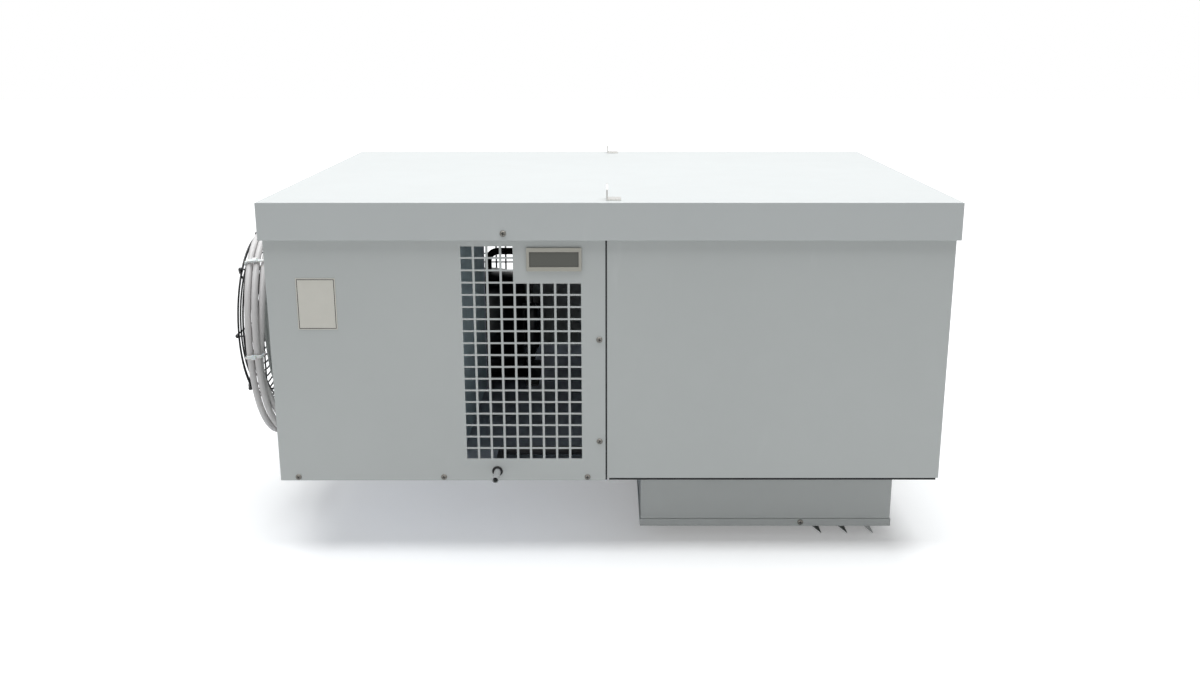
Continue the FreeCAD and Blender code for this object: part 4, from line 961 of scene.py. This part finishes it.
# paler and bluer than zinc: painted light for the shaded inside of the box
finishes["galvanised"] = make_finish(
    "Galvanised sheet with painted light", (0.740, 0.790, 0.870), 0.42,
    metal=0.35, drift=(0.25, 28.0), grain=(300, 0.25, 0.05), dust=0.15,
)
print("finishes", len(finishes))

# %% [markdown]
# Bare metals take their look from what they mirror, so their colour is strong, their roughness is low and
# their tone drifts more. The fins are thin aluminium, dulled by use, and are only partly metallic here.
# Their colour is set paler and bluer than aluminium, as painted light for the coils, which lie in shade
# behind the grilles.

# %% Bare metals
finishes["bright_steel"] = make_finish(
    "Zinc-plated steel", (0.620, 0.610, 0.580), 0.28,
    metal=1.0, drift=(0.15, 60.0), dust=0.05,
)
finishes["screw_steel"] = make_finish(
    "Dull screw steel", (0.220, 0.210, 0.190), 0.38,
    metal=0.9, drift=(0.25, 90.0), dust=0.10,
)
# paler and bluer than aluminium: painted light for the shaded coils
finishes["fins"] = make_finish(
    "Aluminium fins with painted light", (0.560, 0.680, 0.720), 0.40,
    metal=0.35, drift=(0.20, 30.0), grain=(500, 0.2, 0.05), dust=0.10,
)
finishes["copper"] = make_finish(
    "Copper tube", (0.620, 0.290, 0.160), 0.30,
    metal=1.0, drift=(0.30, 25.0), grain=(600, 0.25, 0.04), dust=0.08,
)
print("finishes", len(finishes))

# %% [markdown]
# Plastics differ mostly in grain: moulded black has a fine leather grain, the window is smooth under a
# clear coat, and rubber and foam are coarse and dull. White nylon lets a little light into its skin.

# %% Plastics, rubber and foam
finishes["gasket"] = make_finish(
    "Rubber gasket", (0.012, 0.012, 0.013), 0.75,
    grain=(1500, 0.15, 0.25), dust=0.10, scuffs=0.05,
)
finishes["foam"] = make_finish(
    "Insulating foam", (0.650, 0.560, 0.330), 0.90,
    drift=(0.20, 40.0), grain=(1200, 0.05, 0.6), dust=0.05,
)
finishes["grey_plastic"] = make_finish(
    "Grey tube plastic", (0.420, 0.430, 0.430), 0.45,
    dust=0.05,
)
finishes["bezel_plastic"] = make_finish(
    "Warm grey plastic", (0.400, 0.385, 0.335), 0.40,
    grain=(1400, 0.08, 0.12), dust=0.05,
)
finishes["nameplate_film"] = make_finish(
    "Silvered plate film", (0.620, 0.600, 0.540), 0.35,
    drift=(0.06, 30.0), dust=0.04,
)
finishes["window_plastic"] = make_finish(
    "Smoked window", (0.085, 0.085, 0.070), 0.12,
    grain=(400, 0.04, 0.01), dust=0.03, scuffs=0.03, Coat_Weight=0.6,
)
finishes["black_plastic"] = make_finish(
    "Black moulded plastic", (0.018, 0.018, 0.019), 0.50,
    grain=(1500, 0.15, 0.15), dust=0.06,
)
finishes["cable_jacket"] = make_finish(
    "Light grey cable jacket", (0.590, 0.570, 0.565), 0.45,
    drift=(0.10, 15.0), grain=(1200, 0.12, 0.08), dust=0.10,
)
finishes["white_nylon"] = make_finish(
    "White nylon", (0.780, 0.785, 0.770), 0.38,
    drift=(0.04, 20.0), dust=0.05, Subsurface_Weight=0.1,
)
print("finishes", len(finishes))

# %% [markdown]
# ## Dressing every piece
#
# The pieces made above were waiting for their finishes. The sheets and boxes that stay as the model has
# them get theirs here too. A table of finishes and nodes keeps the choice easy to read and to change.

# %% Which finish each kept node wears
kept_finishes = {
    "lid_paint": ["lid"],
    "casing_paint": [
        "front_grille_panel",
        "rear_grille_panel",
        "left_end_panel",
        "front_right_panel",
        "rear_right_panel",
        "right_end_panel",
        "plug_front_sheet",
        "plug_rear_sheet",
        "plug_left_sheet",
        "plug_right_sheet",
        "plug_bottom_cover",
        "louvre_blades",
    ],
    "liner_paint": ["chamber_liner", "air_divider"],
    "galvanised": [
        "base_pan",
        "partition_skin",
        "box_floor",
        "fan_duct",
        "condenser_tube_plates",
        "evaporator_tube_plates",
        "drain_pan",
    ],
    "bright_steel": ["lifting_lugs", "fan_spindles", "evaporator_fan_brackets"],
    "gasket": ["roof_gasket"],
    "foam": ["foam_walls", "foam_top", "plug_foam"],
    "black_paint": ["condenser_impeller", "compressor_foot"],
    "black_plastic": [
        "evaporator_impeller_front",
        "evaporator_impeller_rear",
        "compressor_terminal_box",
        "drain_hose",
        "controller_body",
    ],
    "grey_plastic": ["electrical_box", "drain_spigot"],
    "bezel_plastic": ["controller_bezel"],
    "window_plastic": ["display_window"],
}
print("kept nodes listed", sum(len(names) for names in kept_finishes.values()))

# %% [markdown]
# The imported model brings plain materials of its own, so a kept node is cleared before it gets its finish.
# The pieces made above have none yet.

# %% Dress every piece
dressed = 0
for finish, names in kept_finishes.items():
    for name in names:
        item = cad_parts[name]
        item.data.materials.clear()
        item.data.materials.append(finishes[finish])
        dressed += 1
for item, finish in waiting_for_paint:
    item.data.materials.append(finishes[finish])
print("kept nodes dressed", dressed, "new pieces", len(waiting_for_paint))

# %% [markdown]
# Real sheet has a small radius on each fold. A bevel on the folded panels gives it, and it catches a thin
# line of light.

# %% Broken edges
EDGE_WIDTH = 0.0005
edged = ["lid", "front_right_panel", "rear_right_panel", "right_end_panel"]
edged += ["lifting_lugs", "controller_bezel", "plug_front_sheet"]
for name in edged:
    round_edges(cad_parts[name], EDGE_WIDTH)
print("nodes with broken edges", len(edged))

# %% [markdown]
# ## Stage and light
#
# The photograph shows the unit on white. Light could be turned up until everything behind burns out, but
# that would bleach the paint. Instead floor and world are white only to the camera and in reflections,
# and the unit is lit at a plainer level.

# %% Floor
floor_height = cad_box[0][2]
floor_mesh = bpy.data.meshes.new("Floor")
REACH = 12.0
outline = ((-REACH, -REACH), (REACH, -REACH), (REACH, REACH), (-REACH, REACH))
floor_mesh.from_pydata([(x, y, floor_height) for x, y in outline], [], [(0, 1, 2, 3)])
floor = bpy.data.objects.new("Floor", floor_mesh)
bpy.context.collection.objects.link(floor)
floor_paint = make_finish(
    "Pale floor",
    (0.88, 0.88, 0.88),
    0.85,
    drift=(0.01, 2.0),
    grain=(200, 0.05, 0.0),
    dust=0.0,
    scuffs=0.0,
)
floor_mesh.materials.append(floor_paint)
print("floor at", round(floor_height, 4))

# %% [markdown]
# The floor needs a shadow near the unit and plain white far from it. Its own glow, seen only by the
# camera, rises with the distance from the unit, so the shadow stays and the far floor meets the white
# world without an edge.

# %% The floor's glow
GLOW_NEAR = 0.28
GLOW_RISE = 0.6
FADE_FROM = 1.0
FADE_TO = 4.5
tree = floor_paint.node_tree
ray = tree.nodes.new("ShaderNodeLightPath")
where = tree.nodes.new("ShaderNodeTexCoord")
distance = tree.nodes.new("ShaderNodeVectorMath")
distance.operation = "LENGTH"
tree.links.new(where.outputs["Object"], distance.inputs[0])
fade = ramp_between(tree, distance.outputs["Value"], FADE_FROM, FADE_TO)
glow = calculate(tree, "ADD", calculate(tree, "MULTIPLY", fade, GLOW_RISE), GLOW_NEAR)
glow = calculate(tree, "MULTIPLY", glow, ray.outputs["Is Camera Ray"])
shader = tree.nodes["Principled BSDF"]
shader.inputs["Emission Color"].default_value = (1, 1, 1, 1)
tree.links.new(glow, shader.inputs["Emission Strength"])
print("floor glow from", GLOW_NEAR, "to", GLOW_NEAR + GLOW_RISE)

# %% [markdown]
# The world has two strengths. Rays from the camera, reflections and rays through glass see plain white.
# All other rays see a dimmer, slightly cool sky, which lights the unit evenly from all sides.

# %% World
AMBIENT = 0.32
world = bpy.data.worlds.new("Studio")
bpy.context.scene.world = world
world.use_nodes = True
tree = world.node_tree
tree.nodes.clear()
ray = tree.nodes.new("ShaderNodeLightPath")
seen = calculate(tree, "MAXIMUM", ray.outputs["Is Camera Ray"], ray.outputs["Is Glossy Ray"])
seen = calculate(tree, "MAXIMUM", seen, ray.outputs["Is Transmission Ray"])
white = tree.nodes.new("ShaderNodeBackground")
white.inputs["Color"].default_value = (1, 1, 1, 1)
ambient = tree.nodes.new("ShaderNodeBackground")
ambient.inputs["Color"].default_value = (0.96, 0.985, 1.0, 1)
ambient.inputs["Strength"].default_value = AMBIENT
mixer = tree.nodes.new("ShaderNodeMixShader")
out = tree.nodes.new("ShaderNodeOutputWorld")
tree.links.new(seen, mixer.inputs[0])
tree.links.new(ambient.outputs[0], mixer.inputs[1])
tree.links.new(white.outputs[0], mixer.inputs[2])
tree.links.new(mixer.outputs[0], out.inputs[0])
print("world strength on the unit", AMBIENT)

# %% [markdown]
# One large soft lamp hangs above. It makes the lid the brightest face and leaves the front a shade
# darker, as in the photograph, and its size keeps the shadow on the floor soft.

# %% Overhead lamp
lamp_data = bpy.data.lights.new("Overhead", "AREA")
lamp_data.shape = "RECTANGLE"
lamp_data.size = 4.0
lamp_data.size_y = 3.0
lamp_data.energy = 150.0
lamp_data.color = (0.965, 0.985, 1.0)
lamp = bpy.data.objects.new("Overhead", lamp_data)
bpy.context.collection.objects.link(lamp)
lamp.location = (-0.3, -0.1, 3.0)
print("lamp watts", lamp_data.energy)
